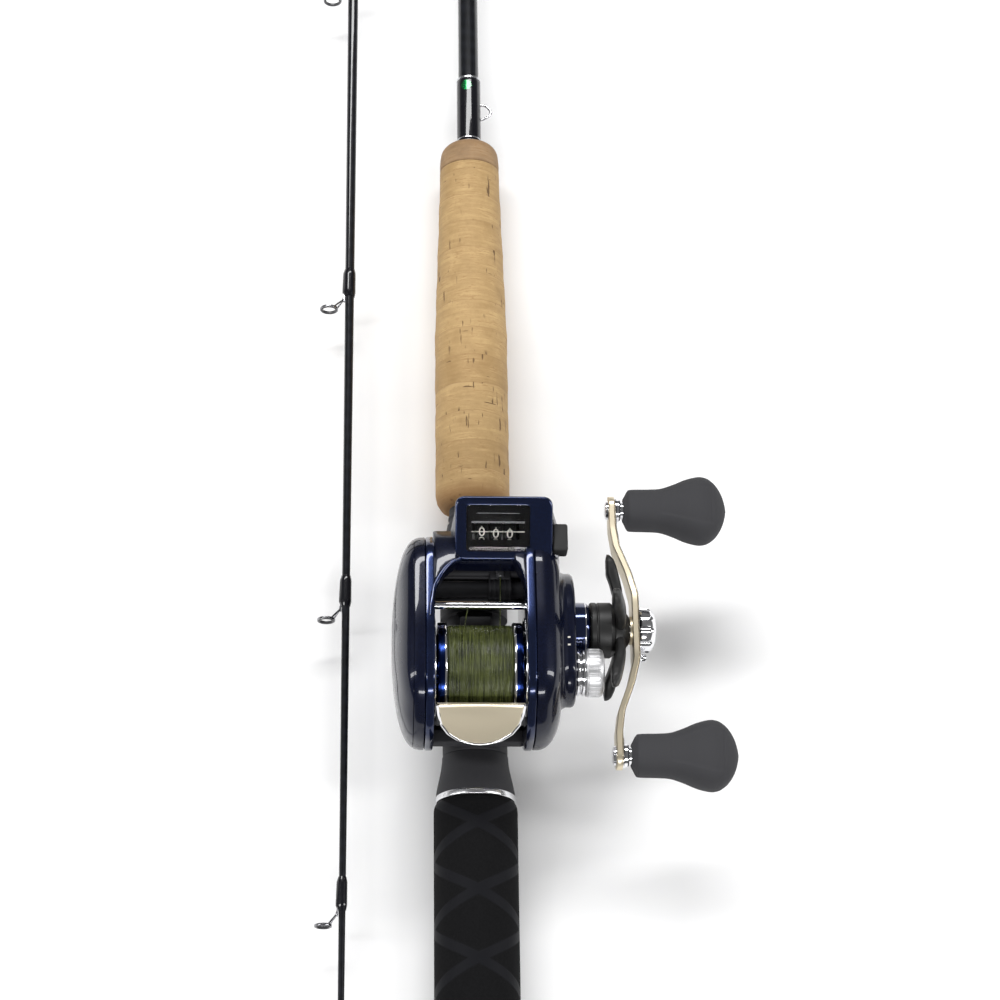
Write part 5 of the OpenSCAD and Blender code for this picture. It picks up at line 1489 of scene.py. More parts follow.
    def build_palm_cover(self) -> None:
        """Domed cover with a groove round it and seams across its front."""
        rows = [self.palm_row(0, 0.9), self.palm_row(0.01, 0.25), self.palm_row(0.03)]
        rows += [self.palm_row(k / 40) for k in range(2, 14)]
        groove = 13.6 / 40
        rows += [self.palm_row(groove - 0.006), self.palm_row(groove, 0.30),
                self.palm_row(groove + 0.012, 0.30), self.palm_row(groove + 0.02)]
        rows += [self.palm_row(k / 40) for k in range(15, 36)]
        rows += [self.palm_row(1 - 0.125 * (1 - k / 12) ** 2) for k in range(1, 13)]
        shape = loft(rows)
        mount(build("palm_cover_lacquered", shape, 0, 32), "rod", NAVY, "palm_side_cover")
        seams = Shape()
        for steps, at_y in ((range(1, 24), 45.2), (range(6, 22), 48.6)):
            path = [self.palm_point(k / 40, at_y - 0.16 * k) for k in steps]
            seams.join(tube([p for p in path if p], 0.13, 8))
        mount(build("palm_cover_seams", seams, 0, 60), "rod", BLACK_DULL)

    def palm_point(self, t: float, forward: float) -> Optional[Point]:
        """Highest point of the palm cover at depth t and that far ahead of the spool's axis."""
        near = [p for p in self.palm_row(t) if abs(p[1] - SPOOL[0] - forward) < 1.2]
        return max(near, key=lambda p: p[2]) if near else None

    def gear_row(self, t: float, shrink: float = 0.0) -> list[Point]:
        """Outline of the gear cover at depth t of its dome."""
        x = self.gear.lo.x + t * 9.95
        return [(x, p[0], p[1]) for p in side_outline(7, sqrt(max(0.0, 1 - 0.42 * t ** 3)), shrink)]

    def boss_outline(self, inset: float) -> list[Pair]:
        """Outline round the spool's and the crank's bosses, as (y, z)."""
        out = []
        apart = Vector(CRANK) - Vector(SPOOL)
        lean = atan2(apart.y, apart.x)
        spread = asin((self.crank_boss - self.spool_boss) / apart.length)
        for centre, r, start, end in ((CRANK, self.crank_boss, -pi / 2 - spread, pi / 2 + spread),
                (SPOOL, self.spool_boss, pi / 2 + spread, 1.5 * pi - spread)):
            for k in range(60):
                a = lean + start + (end - start) * k / 59
                out.append((centre[0] + (r - inset) * cos(a), centre[1] + (r - inset) * sin(a)))
        return out

    def build_gear_cover(self) -> None:
        """Domed cover, the boss that carries the crank, its marks and its dished bore."""
        rows = [self.gear_row(0, 0.9), self.gear_row(0.012, 0.25), self.gear_row(0.035)]
        rows += [self.gear_row(k / 20) for k in range(2, 17)]
        rows += [self.gear_row(0.86), self.gear_row(0.92), self.gear_row(0.965, 0.5),
                self.gear_row(0.99, 1.4), self.gear_row(1.0, 3.2)]
        x0, x1 = self.gear.lo.x + 6.5, CRANK_FACE
        layers = [(0.0, x0), (0.0, x1 - 1.5), (0.25, x1 - 0.8), (0.8, x1 - 0.25), (1.5, x1)]
        boss = loft([[(x, p[0], p[1]) for p in self.boss_outline(inset)] for inset, x in layers])
        foot = loft([[(x, p[0], p[1]) for p in self.boss_outline(inset)]
                for inset, x in ((-2.6, x0 + 2.8), (-1.6, x0 + 3.4), (-0.7, x0 + 4.1), (-0.2, x0 + 5.0),
                (0.1, x0 + 5.9))])
        spigot = pin(5, x1 - 0.5, x1 + 4.5, SPOOL, 48)
        cover = loft(rows).join(boss, foot, spigot)
        mount(build("gear_cover_lacquered", cover, 0, 32), "rod", NAVY, "gear_side_cover")
        marks = Shape()
        for y in (SPOOL[0] + 6.6, SPOOL[0] + 9.5):
            top = SPOOL[1] + 13.0 + 0.049 * (y - SPOOL[0])
            marks.join(block((x1 - 5.9, y - 0.42, top - 0.25), (x1 - 2.3, y + 0.42, top + 0.03)))
        mount(build("index_marks", marks), "rod", DIGIT)
        ring = turned([(10.9, x1 - 0.3), (12.2, x1 - 0.3), (12.2, x1 + 0.06), (10.9, x1 + 0.06)],
                Axis.ACROSS, CRANK, 80, round_by=0.08)
        mount(build("crank_bore_ring", ring), "rod", BLACK_DULL)


CRANK_FACE = span("bearing_collar").lo.x - 0.05


# Line counter


@dataclass
class LineCounter:
    """Three-wheel line counter on the front of the reel, in millimetres."""

    housing: Span = at("counter_housing")
    window: Span = at("counter_window")
    units: Span = at("units_wheel")
    tens: Span = at("tens_wheel")
    hundreds: Span = at("hundreds_wheel")
    button: Span = at("reset_button")
    tilt: float = 21.7
    width: float = 36.6
    depth: float = 24.0
    pane: Pair = (23.8, 17.4)
    slot: Pair = (17.6, 5.9)
    pane_at: float = -2.15
    wheel_radius: float = 5.7
    digit: float = 3.35

    @property
    def face(self) -> Matrix:
        """Carries the flat drawing of the counter's face to its tilted place."""
        lean = radians(self.tilt)
        y = self.tens.mid.y - 1.6
        z = self.tens.mid.z + 7.5
        return Matrix.Translation((self.window.mid.x - self.pane_at, y, z)) @ Matrix.Rotation(lean, 4, "X")

    @property
    def slot_at(self) -> Pair:
        """Middle of the digit slot on the face."""
        lean = radians(self.tilt)
        return self.tens.mid.x - self.window.mid.x + self.pane_at, 1.6 * cos(lean) - 7.5 * sin(lean)

    @staticmethod
    def rectangle(size: Pair, mid: Pair, corner: float, height: float, inset: float = 0.0) -> list[Point]:
        """Rounded rectangle at a height, drawn in by an inset."""
        w, d = size[0] / 2 - inset, size[1] / 2 - inset
        box = [(mid[0] - w, mid[1] - d), (mid[0] + w, mid[1] - d), (mid[0] + w, mid[1] + d),
                (mid[0] - w, mid[1] + d)]
        return [(p[0], p[1], height) for p in soften(box, max(0.35, corner - inset), 8)]

    def build(self) -> None:
        """Build and dress the counter."""
        self.build_case()
        self.build_face()
        for name, node, box, turn in (("hundreds", "hundreds_wheel", self.hundreds, 0.0),
                ("tens", "tens_wheel", self.tens, 6.0), ("units", "units_wheel", self.units, 7.0)):
            self.build_wheel(name, node, box, turn)
        lo, hi = self.button.lo, self.button.hi
        cap = build("reset_button_cap", block((hi.x - 5.5, lo.y, lo.z), tuple(hi)), 0.9)
        mount(cap, "reset", BUTTON, "reset_button")
        stem = pin(2, hi.x - 8.5, hi.x - 5, (self.button.mid.y, self.button.mid.z), 32)
        mount(build("reset_button_stem", stem), "reset", STEEL)

    def build_case(self) -> None:
        """Bezel round the pane in the lighter navy, whose brightness is a painted highlight, and the darker
        navy case below it.
        """
        outer, mid, pane = (self.width, self.depth), (0.0, 0.0), (self.pane_at, 0.0)
        rows = [self.rectangle(outer, mid, 4, height, inset) for height, inset in ((-2.6, 0.2), (-2.2, 0.0),
                (-0.9, 0.0), (-0.45, 0.12), (-0.15, 0.45), (0.0, 0.95))]
        rows += [self.rectangle(self.pane, pane, 1.6, height, inset)
                for height, inset in ((0.0, -0.5), (-0.12, -0.12), (-0.4, 0.0), (-2.6, 0.0))]
        # Bezel in the lighter navy: painted highlight on its top.
        mount(build("counter_bezel", loft(rows, loop=True).moved(self.face), 0, 40), "rod", NAVY_RIM_PAINTED_HIGHLIGHT,
                "counter_housing")
        base = (self.housing.mid.x, self.housing.lo.y + 8, self.housing.lo.z)
        slot_x, slot_v = self.slot_at
        wide = self.slot[0] + 0.9
        face = self.face
        top = [tuple(face @ Vector(p)) for p in self.rectangle(outer, mid, 4, -2.55, 0.7)]
        neck = [tuple(face @ Vector(p)) for p in self.rectangle(outer, mid, 4, -3.6, 0.5)]
        belly = self.rectangle((self.width + 3.4, 19.0), (base[0], base[1] + 1.8), 4.5, self.tens.mid.z - 0.5)
        floor = self.rectangle((self.width + 5, 16), (base[0], base[1]), 4, base[2] + 0.4)
        foot = self.rectangle((self.width + 5, 16), (base[0], base[1]), 4, base[2], 0.4)
        mouth = self.rectangle((wide, 11.6), (slot_x, slot_v), 1, -2.55)
        inner_top = [tuple(face @ Vector(p)) for p in mouth]
        middle = self.rectangle((wide, 11.6), (self.tens.mid.x, self.tens.mid.y), 1, self.tens.mid.z)
        inner_foot = self.rectangle((wide, 7), (self.tens.mid.x, base[1] + 4), 1, base[2])
        case = loft([foot, floor, belly, neck, top, inner_top, middle, inner_foot], loop=True)
        mount(build("counter_case", case, 0, 32), "rod", NAVY)

    def build_face(self) -> None:
        """Black panel with its slot and lines, a pale bar across the slot that is a painted reflection of the
        pane, and the clear pane over it.
        """
        face = self.face
        pane = (self.pane_at, 0.0)
        slot_x, slot_v = self.slot_at
        rows = [self.rectangle(self.pane, pane, 1.6, height, 0.03) for height in (-1.5, -1.0)]
        rows += [self.rectangle(self.slot, (slot_x, slot_v), 0.5, height, inset)
                for height, inset in ((-1.0, -0.3), (-1.12, 0.0), (-1.5, 0.0))]
        mount(build("counter_panel", loft(rows, loop=True).moved(face), 0, 40), "rod", PANEL)
        lines = Shape()
        for x0, x1, v, thick in ((-8.0, 8.0, 5.6, 0.12), (-9.9, 9.9, slot_v + 3.55, 0.36),
                (-10.6, 3.6, -7.2, 0.2), (6.4, 10.6, -7.2, 0.2)):
            lines.join(block((pane[0] + x0, v - thick, -1.05), (pane[0] + x1, v + thick, -0.96)))
        mount(build("counter_panel_lines", lines.moved(face)), "rod", SATIN)
        # Pale bar across the digit slot: a painted reflection, standing in for the bright line that the
        # pane's glass throws across the digits.
        painted_reflection_bar = block((pane[0] - 9.9, slot_v - 0.17, -1.06), (pane[0] + 9.9, slot_v + 0.17, -0.97))
        mount(build("counter_painted_reflection_line", painted_reflection_bar.moved(face)), "rod", DIGIT)
        red = block((self.width / 2 - 6.2, -self.depth / 2 + 1.5, -0.05),
                (self.width / 2 - 4.9, -self.depth / 2 + 2.3, 0.04))
        mount(build("counter_index_mark", red.moved(face)), "rod", RED)
        layers = [(0.1, -0.85), (0.0, -0.75), (0.0, -0.3), (0.25, -0.12)]
        lens = rounded_plate(self.pane[0] - 0.2, self.pane[1] - 0.2, 1.5, layers)
        lens = lens.moved(Matrix.Translation((*pane, 0))).moved(face)
        mount(build("counter_pane", lens), "rod", LENS, "counter_window")

    def build_wheel(self, body: str, node: str, box: Span, turn: float) -> None:
        """One digit wheel and its raised numerals.

        Args:
            body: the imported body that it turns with.
            node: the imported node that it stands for.
            box: where that node is.
            turn: degrees that the wheel stands away from its clean reading.
        """
        r, x0, x1, at_y, at_z = self.wheel_radius, box.lo.x, box.hi.x, box.mid.y, box.mid.z
        rim = turned([(1, x0), (r - 0.3, x0), (r, x0 + 0.25), (r, x1 - 0.25), (r - 0.3, x1), (1, x1)],
                Axis.ACROSS, (at_y, at_z), 96)
        mount(build("wheel_" + body, rim), body, PANEL, node)
        marks = Shape()
        for value in range(10):
            glyph = self.numeral(str(value))
            phi = radians(90 + self.tilt + turn - 36.0 * value)
            bent = []
            for p in glyph.points:
                a = phi - p[1] / r
                reach = r + p[2]
                bent.append((box.mid.x + p[0], at_y + reach * cos(a), at_z + reach * sin(a)))
            marks.join(Shape().add(bent, glyph.faces))
        mount(build("numerals_" + body, marks), body, DIGIT)

    def numeral(self, text: str) -> Shape:
        """Solid mesh of one numeral, upright and centred, in millimetres."""
        curve = bpy.data.curves.new("numeral", "FONT")
        curve.body, curve.size, curve.extrude, curve.resolution_u = text, 1.0, 0.01, 4
        curve.align_x, curve.align_y = "CENTER", "BOTTOM_BASELINE"
        obj = bpy.data.objects.new("numeral", curve)
        bpy.context.scene.collection.objects.link(obj)
        graph = bpy.context.evaluated_depsgraph_get()
        mesh = bpy.data.meshes.new_from_object(obj.evaluated_get(graph), depsgraph=graph)
        ys = [v.co.y for v in mesh.vertices]
        xs = [v.co.x for v in mesh.vertices]
        tall = self.digit / (max(ys) - min(ys))
        mid_x, mid_y = (max(xs) + min(xs)) / 2, (max(ys) + min(ys)) / 2
        points = [((v.co.x - mid_x) * tall * 1.08, (v.co.y - mid_y) * tall, 0.02 + v.co.z * 3)
                for v in mesh.vertices]
        shape = Shape().add(points, [tuple(f.vertices) for f in mesh.polygons])
        bpy.data.objects.remove(obj)
        bpy.data.curves.remove(curve)
        bpy.data.meshes.remove(mesh)
        return shape


# Spool and level wind


@dataclass
class SpoolAndWind:
    """Spool, line, level wind and thumb bar, in millimetres."""

    spool: Span = at("spool")
    pack: Span = at("fishing_line")
    guide: Span = at("line_guide")
    thumb: Span = at("thumb_bar")
    guard: Span = at("guard_bar")
    core: float = 9.0
    flange: float = 3.55
    strand: float = 0.2
    thumb_drop: Pair = (-18.0, 15.0)
    thumb_slope: float = 57.17
    thumb_length: float = 18.45
    thumb_half: float = 16.3

    def build(self) -> None:
        """Build and dress the pieces."""
        self.build_spool()
        self.build_line()
        self.build_carriage()
        self.build_thumb_bar()

    def build_spool(self) -> None:
        """Blue spool with bright rims."""
        w, r, t = self.pack.hi.x + 0.03, self.spool.hi.z - SPOOL[1], self.flange
        profile = [(1.9, -w - t - 0.4), (5, -w - t - 0.4), (5, -w - 1.4), (r - 3, -w - 1.4),
                (r - 1.6, -w - t), (r - 0.25, -w - t), (r - 0.05, -w - t + 0.3), (r - 0.05, -w - 0.6),
                (r - 0.8, -w), (self.core, -w)]
        both = profile + [(p[0], -p[1]) for p in reversed(profile)]
        mount(build("spool_anodised", turned(both, Axis.ACROSS, SPOOL, 128)), "spool_group", SPOOL_BLUE,
                "spool")
        rims = Shape()
        for side in (-1, 1):
            ring = [(r - 0.85, w), (r - 0.35, w + 0.12), (r, w + 0.4), (r, w + 0.95), (r - 0.2, w + 1.0),
                    (r - 0.8, w + 0.8)]
            rims.join(turned([(p[0], side * p[1]) for p in ring], Axis.ACROSS, SPOOL, 128))
        mount(build("spool_rims", rims, 0, 60), "spool_group", CHROME)

    def build_line(self) -> None:
        """Filled spool: a core of line in a darker copy of the braid, its darkness painted shade between the
        turns, under two crossed windings, and the loose ends.
        """
        w, r = self.pack.hi.x, self.pack.hi.z - SPOOL[1]
        low = r - 0.34
        profile = [(self.core + 0.03, -w)]
        for k in range(-12, 13):
            profile.append((low - 0.5 * abs(k / 12) ** 8 + 0.06 * sin(k * 2.1), w * k / 12 * 0.998))
        profile.append((self.core + 0.03, w))
        # The core is the braid darkened: painted shade where it shows between the windings.
        mount(build("line_core", turned(profile, Axis.ACROSS, SPOOL, 128), 0, 60), "spool_group", BRAID_PAINTED_SHADE,
                "fishing_line")
        mid = (0.0, *SPOOL)
        mount(Repeat.wind("line_winding_low", mid, r - self.strand * 1.9, 2 * w - 0.7, 57.0, self.strand,
                0.11, 0.30, LINE), "spool_group", LINE)
        mount(Repeat.wind("line_winding_top", mid, r - self.strand * 0.95, 2 * w - 1.3, 43.0, self.strand,
                0.37, 0.75, LINE), "spool_group", LINE)
        bar_y, bar_z = self.guard.mid.y, self.guard.mid.z
        eye = (self.guide.mid.x, self.guide.hi.y - 5.5, self.guide.hi.z + 0.85)
        lead = [self.on_pack(7.3, 38, 0.0), self.on_pack(7.35, 48, 0.15), (7.7, bar_y - 4.5, bar_z + 2.2),
                (8.0, bar_y + 3.5, bar_z - 0.9), eye, (eye[0], eye[1] + 4.2, eye[2] - 0.3)]
        mount(build("line_lead", tube(smooth_path(lead, 8), self.strand, 8), 0, 60), "line_carriage", LINE)
        hitch = [self.on_pack(-6.4, 40, 0.0), self.on_pack(-6.1, 50, 0.15), (-5.0, bar_y - 5.0, bar_z + 1.2)]
        turn = self.guard.hi.z - bar_z + self.strand
        for k in range(25):
            a = radians(200 - 40 * k)
            hitch.append((-4.2 + 0.055 * k, bar_y + turn * cos(a), bar_z + turn * sin(a)))
        mount(build("line_hitch", tube(smooth_path(hitch, 5), self.strand, 8), 0, 60), "rod", LINE)

    def on_pack(self, x: float, degrees: float, lift: float) -> Point:
        """Point on the wound line at an angle over the forward direction."""
        r = self.pack.hi.z - SPOOL[1] + lift - 0.1
        a = radians(degrees)
        return x, SPOOL[0] + r * cos(a), SPOOL[1] + r * sin(a)

    def build_carriage(self) -> None:
        """Ribbed carriage with its eye, running on the tube."""
        x0, x1 = self.guide.lo.x, self.guide.hi.x
        profile = [(3.36, x0), (4.3, x0)]
        for k in range(5):
            x = x0 + 0.45 + k * (x1 - x0 - 0.9) / 4
            profile += [(4.3, x - 0.35), (4.85, x - 0.25), (4.85, x + 0.25), (4.3, x + 0.35)]
        profile = [p for p in profile if x0 <= p[1] <= x1] + [(4.3, x1), (3.36, x1)]
        mount(build("carriage_sleeve", turned(profile, Axis.ACROSS, WORM, 80)), "line_carriage", BLACK,
                "line_guide")
        y0, y1, z1 = WORM[0] + 2.8, self.guide.hi.y, self.guide.hi.z - 0.6
        body = block((x0 + 0.3, y0, WORM[1] - 1.6), (x1 - 0.3, y1, z1))
        mount(build("carriage_block", body, 0.6), "line_carriage", BLACK)
        eye = turned([(0.75, y1 - 7), (1.15, y1 - 7.1), (1.75, y1 - 6.5), (1.75, y1 - 4.5), (1.15, y1 - 3.9),
                (0.75, y1 - 4.0)], Axis.ROD, (self.guide.mid.x, z1 + 1.45), 40, round_by=0.2)
        mount(build("carriage_eye", eye), "line_carriage", CERAMIC)
        refinish(BLACK, "levelwind_rails")
        refinish(STEEL, "levelwind_worm")

    def thumb_width(self, v: float) -> float:
        """Half width of the thumb bar at a distance down its slope."""
        table = ((0, 1), (4, 0.975), (9, 0.9), (13.4, 0.73), (16.3, 0.5), (17.7, 0.3),
                (self.thumb_length, 0.1))
        for (a, p), (b, q) in zip(table, table[1:]):
            if v <= b:
                return self.thumb_half * (p + (q - p) * (v - a) / (b - a))
        return self.thumb_half * table[-1][1]

    def build_thumb_bar(self) -> None:
        """Dished plate with a bright rim, carried on two arms."""
        down, across, thick = 30, 36, 2.2
        spread = [self.thumb_length * (1 - (1 - k / down) ** 1.5) for k in range(down + 1)]
        top, low = [], []
        for v in spread:
            w = self.thumb_width(v)
            for i in range(across + 1):
                u = -cos(pi * i / across)
                dish = 0.75 * (1 - u * u) * sin(pi * min(1.0, 0.12 + 0.8 * v / self.thumb_length))
                edge = max(0.0, (abs(u) - 0.93) / 0.07) ** 2 + max(0.0, 1 - v / 0.8) ** 2
                edge += max(0.0, 1 - (self.thumb_length - v) / 0.8) ** 2
                top.append((u * w, -v, -dish - 0.45 * min(1.0, edge)))
                low.append((u * w * 0.985, -v * 0.99, -thick + 0.35 * min(1.0, edge)))
        shape = closed_sheet(top, low, down, across)
        hinge = Matrix.Translation((0, SPOOL[0] + self.thumb_drop[0], SPOOL[1] + self.thumb_drop[1]))
        place = hinge @ Matrix.Rotation(radians(self.thumb_slope), 4, "X")
        mount(build("thumb_bar_plate", shape.moved(place), 0, 40), "thumb_release", CHAMPAGNE, "thumb_bar")
        rim = [(side * self.thumb_width(v) * 0.985, -v, -0.4) for side, row in ((-1, spread),
                (1, reversed(spread))) for v in row]
        mount(build("thumb_bar_rim", tube([place @ Vector(p) for p in rim], 0.62, 12), 0, 60),
                "thumb_release", CHROME)
        arms = Shape()
        outline = [(-18, 14.4), (-16.8, 13.6), (-19, 8.6), (-20, 6), (-22.6, 5.4), (-22.6, 8.4)]
        for side in (-1, 1):
            x0, x1 = sorted((side * self.thumb_half, side * (self.thumb_half - 1.5)))
            arms.join(slab([(SPOOL[0] + p[0], SPOOL[1] + p[1]) for p in outline], x0, x1))
            x0, x1 = sorted((side * (self.thumb_half - 0.1), side * (self.thumb.hi.x - 0.05)))
            arms.join(pin(1.4, x0, x1, (SPOOL[0] - 21.2, SPOOL[1] + 6.6), 24))
        mount(build("thumb_bar_arms", arms, 0.25), "thumb_release", BLACK)


# Crank side


@dataclass
class CrankSide:
    """Collar, drag star, crank, knobs and cast control, in millimetres."""

    collar: Span = at("bearing_collar")
    hub: Span = at("star_hub")
    star: Span = at("star_drag")
    arm: Span = at("handle_arm")
    nut: Span = at("handle_nut")
    posts: Span = at("knob_posts")
    front: Span = at("knob_front")
    rear: Span = at("knob_rear")
    cap: Span = at("tension_knob")
    arm_thick: float = 3.0
    lobes: int = 10
    flute: float = 1.55
    star_arms: int = 5
    star_reach: float = 29.5
    ribs: int = 24

    def build(self) -> None:
        """Build and dress the pieces from the cover outwards."""
        self.build_collar()
        self.build_star()
        self.build_arm()
        self.build_retainer()
        self.build_knobs()
        self.build_cap()

    def build_collar(self) -> None:
        """Blue collar with a bright ring."""
        x0, x1, r = self.collar.lo.x, self.collar.hi.x, self.collar.hi.z - CRANK[1]
        profile = [(3.3, x0), (r, x0), (r, x1 - 1.7), (r - 0.5, x1 - 0.6), (r - 1.5, x1), (3.3, x1)]
        mount(build("collar_anodised", turned(profile, Axis.ACROSS, CRANK, 112, round_by=0.35), 0, 50),
                "rod", COLLAR, "bearing_collar")
        ring = [(r - 0.3, x1 - 1.9), (r + 0.02, x1 - 1.9), (r + 0.02, x1 - 1.5), (r - 0.3, x1 - 1.4)]
        mount(build("collar_ring", turned(ring, Axis.ACROSS, CRANK, 96, round_by=0.06)), "rod", CHROME)

    def build_star(self) -> None:
        """Drum, hub and the arms of the drag star."""
        x0, x1, r = self.hub.lo.x, self.hub.hi.x, self.hub.hi.z - CRANK[1]
        profile = [(3.2, x0), (r - 0.4, x0), (r, x0 + 0.6), (r, x0 + 2.2), (r - 0.3, x0 + 2.4),
                (r - 0.3, x0 + 2.9), (r, x0 + 3.1), (r, x1 - 1.4), (r - 1.2, x1), (3.2, x1)]
        mount(build("star_drum", turned(profile, Axis.ACROSS, CRANK, 112, round_by=0.2)), "star", STAR,
                "star_hub")
        x = self.star.lo.x + 2.6
        hub = turned([(3.2, x), (8.6, x), (8.3, x + 3.4), (5.4, self.star.hi.x), (3.2, self.star.hi.x)],
                Axis.ACROSS, CRANK, 96, round_by=0.6)
        mount(build("star_middle", hub), "star", STAR, "star_drag")
        tip = self.star_reach
        back = ((4.6, 0.3), (13, 0.0), (18, -1.3), (tip - 8, -2.5), (tip - 2, -2.6), (tip, -2.2))
        front = ((4.6, 3.9), (12, 3.9), (16, 3.5), (20, 2.7), (tip - 5, 1.6), (tip - 2, 0.5), (tip, -1.2))
        half = ((4.6, 4.1), (10, 3.7), (18, 3.2), (tip - 6, 3.5), (tip - 2.6, 3.2), (tip - 0.9, 2.1),
                (tip, 0.7))
        rows = []
        for k in range(34):
            reach = 4.6 + (tip - 4.6) * (1 - (1 - k / 33) ** 1.4)
            a, b, h = read(back, reach), read(front, reach), read(half, reach)
            row = []
            for i in range(28):
                t = 2 * pi * i / 28
                c, s = cos(t), sin(t)
                px = (a + b) / 2 + (b - a) / 2 * copysign(abs(c) ** 0.6, c)
                row.append((x + px, reach, h * copysign(abs(s) ** 0.6, s)))
            rows.append(row)
        place = Matrix.Translation((0, *CRANK)) @ Matrix.Rotation(radians(9), 4, "X")
        blade = build("star_arms", loft(rows).moved(place), 0, 50)
        mount(Repeat.round_axis(blade, self.star_arms, Axis.ACROSS, (0, *CRANK), STAR), "star", STAR)

    def build_arm(self) -> None:
        """Cranked arm, crowned on its outer face, with a bright facing."""
        reach = (self.front.mid.y - self.rear.mid.y) / 2
        inner, low = self.arm.hi.x - self.arm_thick, self.arm.lo.x
        layers = (("crank_arm_anodised", 0.0, 2.35, 0.0, CHAMPAGNE, ("handle_arm",)),
                ("crank_arm_facing", 2.3, 3.0, -0.45, CHROME, ()))
        bend = ((0, 0), (13, 0), (22, 0.30), (33, 0.85), (41, 1.0), (60, 1.0))
        for name, t0, t1, grow, finish, nodes in layers:
            rows = []
            end = reach + 5.45
            for k in range(97):
                v = -cos(pi * k / 96)
                d = v * (end + grow)
                half = self.half_width(abs(d), end + grow) + (grow if abs(v) < 0.999 else 0)
                x = inner - read(bend, abs(d)) * (inner - low)
                row = []
                for t, w in ((t0, 0.82), (t0 + 0.12, 0.95), (t0 + 0.3, 1.0), (t1 - 0.3, 1.0),
                        (t1 - 0.1, 0.94), (t1, 0.8), (t1, 0.4), (t1, 0.0)):
                    row.append((x + t, CRANK[0] + d, CRANK[1] + half * w))
                row += [(p[0], p[1], 2 * CRANK[1] - p[2]) for p in reversed(row[:-1])]
                rows.append(row)
            mount(build(name, loft(rows), 0, 40), "crank", finish, *nodes)
        sleeve = pin(5.4, inner - 0.7, inner + 0.2, CRANK, 64)
        mount(build("crank_arm_sleeve", sleeve), "crank", CHAMPAGNE)

    @staticmethod
    def half_width(d: float, end: float) -> float:
        """Half width of the arm at a distance from its middle."""
        straight = read(((0, 6.5), (11, 6.5), (20, 5.6), (41, 4.75), (60, 4.7)), d)
        left = end - d
        if left > straight:
            return straight
        return sqrt(max(0.0, straight ** 2 - (straight - left) ** 2)) + 0.02

    def build_retainer(self) -> None:
        """Lobed retainer over the crank's end, with its small screw."""
        x, r = self.nut.lo.x + 0.02, self.nut.hi.z - CRANK[1]
        rows = []
        for top, at_x in ((r - 0.35, x), (r, x + 0.35), (r, x + 3.2), (r - 0.45, x + 3.9),
                (r - 1.3, x + 4.9), (r - 2.3, x + 5.6), (r - 3.6, x + 6.1), (r - 5.0, x + 6.35),
                (2.2, x + 6.38), (2.0, x + 6.0)):
            row = []
            for k in range(200):
                a = 2 * pi * k / 200
                off = (a * self.lobes / (2 * pi)) % 1.0
                off = (min(off, 1 - off)) * 2 * pi / self.lobes
                side = (r + 0.7) * sin(off)
                reach = top
                if abs(side) < self.flute:
                    reach = min(top, (r + 0.7) * cos(off) - sqrt(self.flute ** 2 - side ** 2))
                row.append((at_x, CRANK[0] + reach * cos(a), CRANK[1] + reach * sin(a)))
            rows.append(row)
        mount(build("crank_retainer", loft(rows), 0, 34), "crank", CHROME, "handle_nut")
        screw_y = self.nut.lo.y + 1.7
        screw = turned([(0, x), (1.7, x), (1.7, x + 1.6), (1.2, x + 2.3), (0, x + 2.5)], Axis.ACROSS,
                (screw_y, CRANK[1]), 40, False)
        mount(build("crank_lock_screw", screw), "crank", STEEL)

    def build_knobs(self) -> None:
        """Posts, rivets and the two soft knobs."""
        x0, x1 = self.posts.lo.x, self.posts.hi.x
        outer = x0 + 1.3 + self.arm_thick
        posts = Shape()
        for box in (self.front, self.rear):
            profile = [(0, x0), (2.6, x0), (3.5, x0 + 0.35), (3.8, x0 + 1.25), (2.2, x0 + 1.3), (2.2, outer),
                    (4.6, outer + 0.02), (4.6, outer + 1.1), (4.2, outer + 1.6), (3.4, outer + 1.8),
                    (3.4, box.lo.x - 0.1), (2.2, box.lo.x - 0.1), (2.2, x1), (0, x1)]
            posts.join(turned(profile, Axis.ACROSS, (box.mid.y, CRANK[1]), 56, False))
        mount(build("knob_posts_turned", posts), "crank", CHROME, "knob_posts")
        self.build_knob("front_knob", "knob_front", self.front)
        self.build_knob("rear_knob", "knob_rear", self.rear)

    def build_knob(self, body: str, node: str, box: Span) -> None:
        """One soft knob, flattened towards its wide end, with a sunk panel on each broad side.

        Args:
            body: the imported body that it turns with.
            node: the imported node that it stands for.
            box: where that node is.
        """
        x0, long, r = box.lo.x + 0.2, box.hi.x - box.lo.x - 0.2, box.hi.z - box.mid.z
        shape = [(-0.2, 4.4), (0.5, 5.6), (1.4, 7.2), (2.8, 7.9), (9.7, 8.1), (14.5, 8.5), (19.4, 10.1),
                (24.2, 12.1), (29.1, r - 0.4), (32.2, r - 0.7), (34.2, r - 1.8), (35.9, r - 3.3),
                (37.6, r - 5.7), (38.8, r - 8.3), (39.6, r - 11.1), (long, 0.5)]
        path = smooth_path([(p[0], p[1], 0) for p in shape], 7)
        sides = 108
        hollow = 2.3
        rows = [[(x, box.mid.y + hollow * cos(a), box.mid.z + hollow * sin(a))
                for a in turn_steps(sides)] for x in (x0 + long - 7.7, x0 - 0.2)]
        thinning = ((0, 1.0), (long * 0.2, 0.98), (long * 0.62, 0.86), (long * 0.8, 0.76), (long, 0.66))
        for p in path:
            flat = read(thinning, p.x)
            row = []
            for a in turn_steps(sides):
                c, s = cos(a), sin(a)
                y = p.y * copysign(abs(c) ** 0.92, c)
                z = p.y * flat * copysign(abs(s) ** 0.80, s)
                along = (p.x - long * 0.34) / (long * 0.52)
                room = min(along, 1 - along) * long * 0.52
                across = p.y * (0.50 + 0.16 * along) - abs(y)
                depth = 0.42 * smooth_step(min(room, across) / 0.8)
                row.append((x0 + p.x, box.mid.y + y, box.mid.z + z - copysign(depth, s)))
            rows.append(row)
        mount(build(body + "_soft", loft(rows), 0, 60), body, KNOB, node)

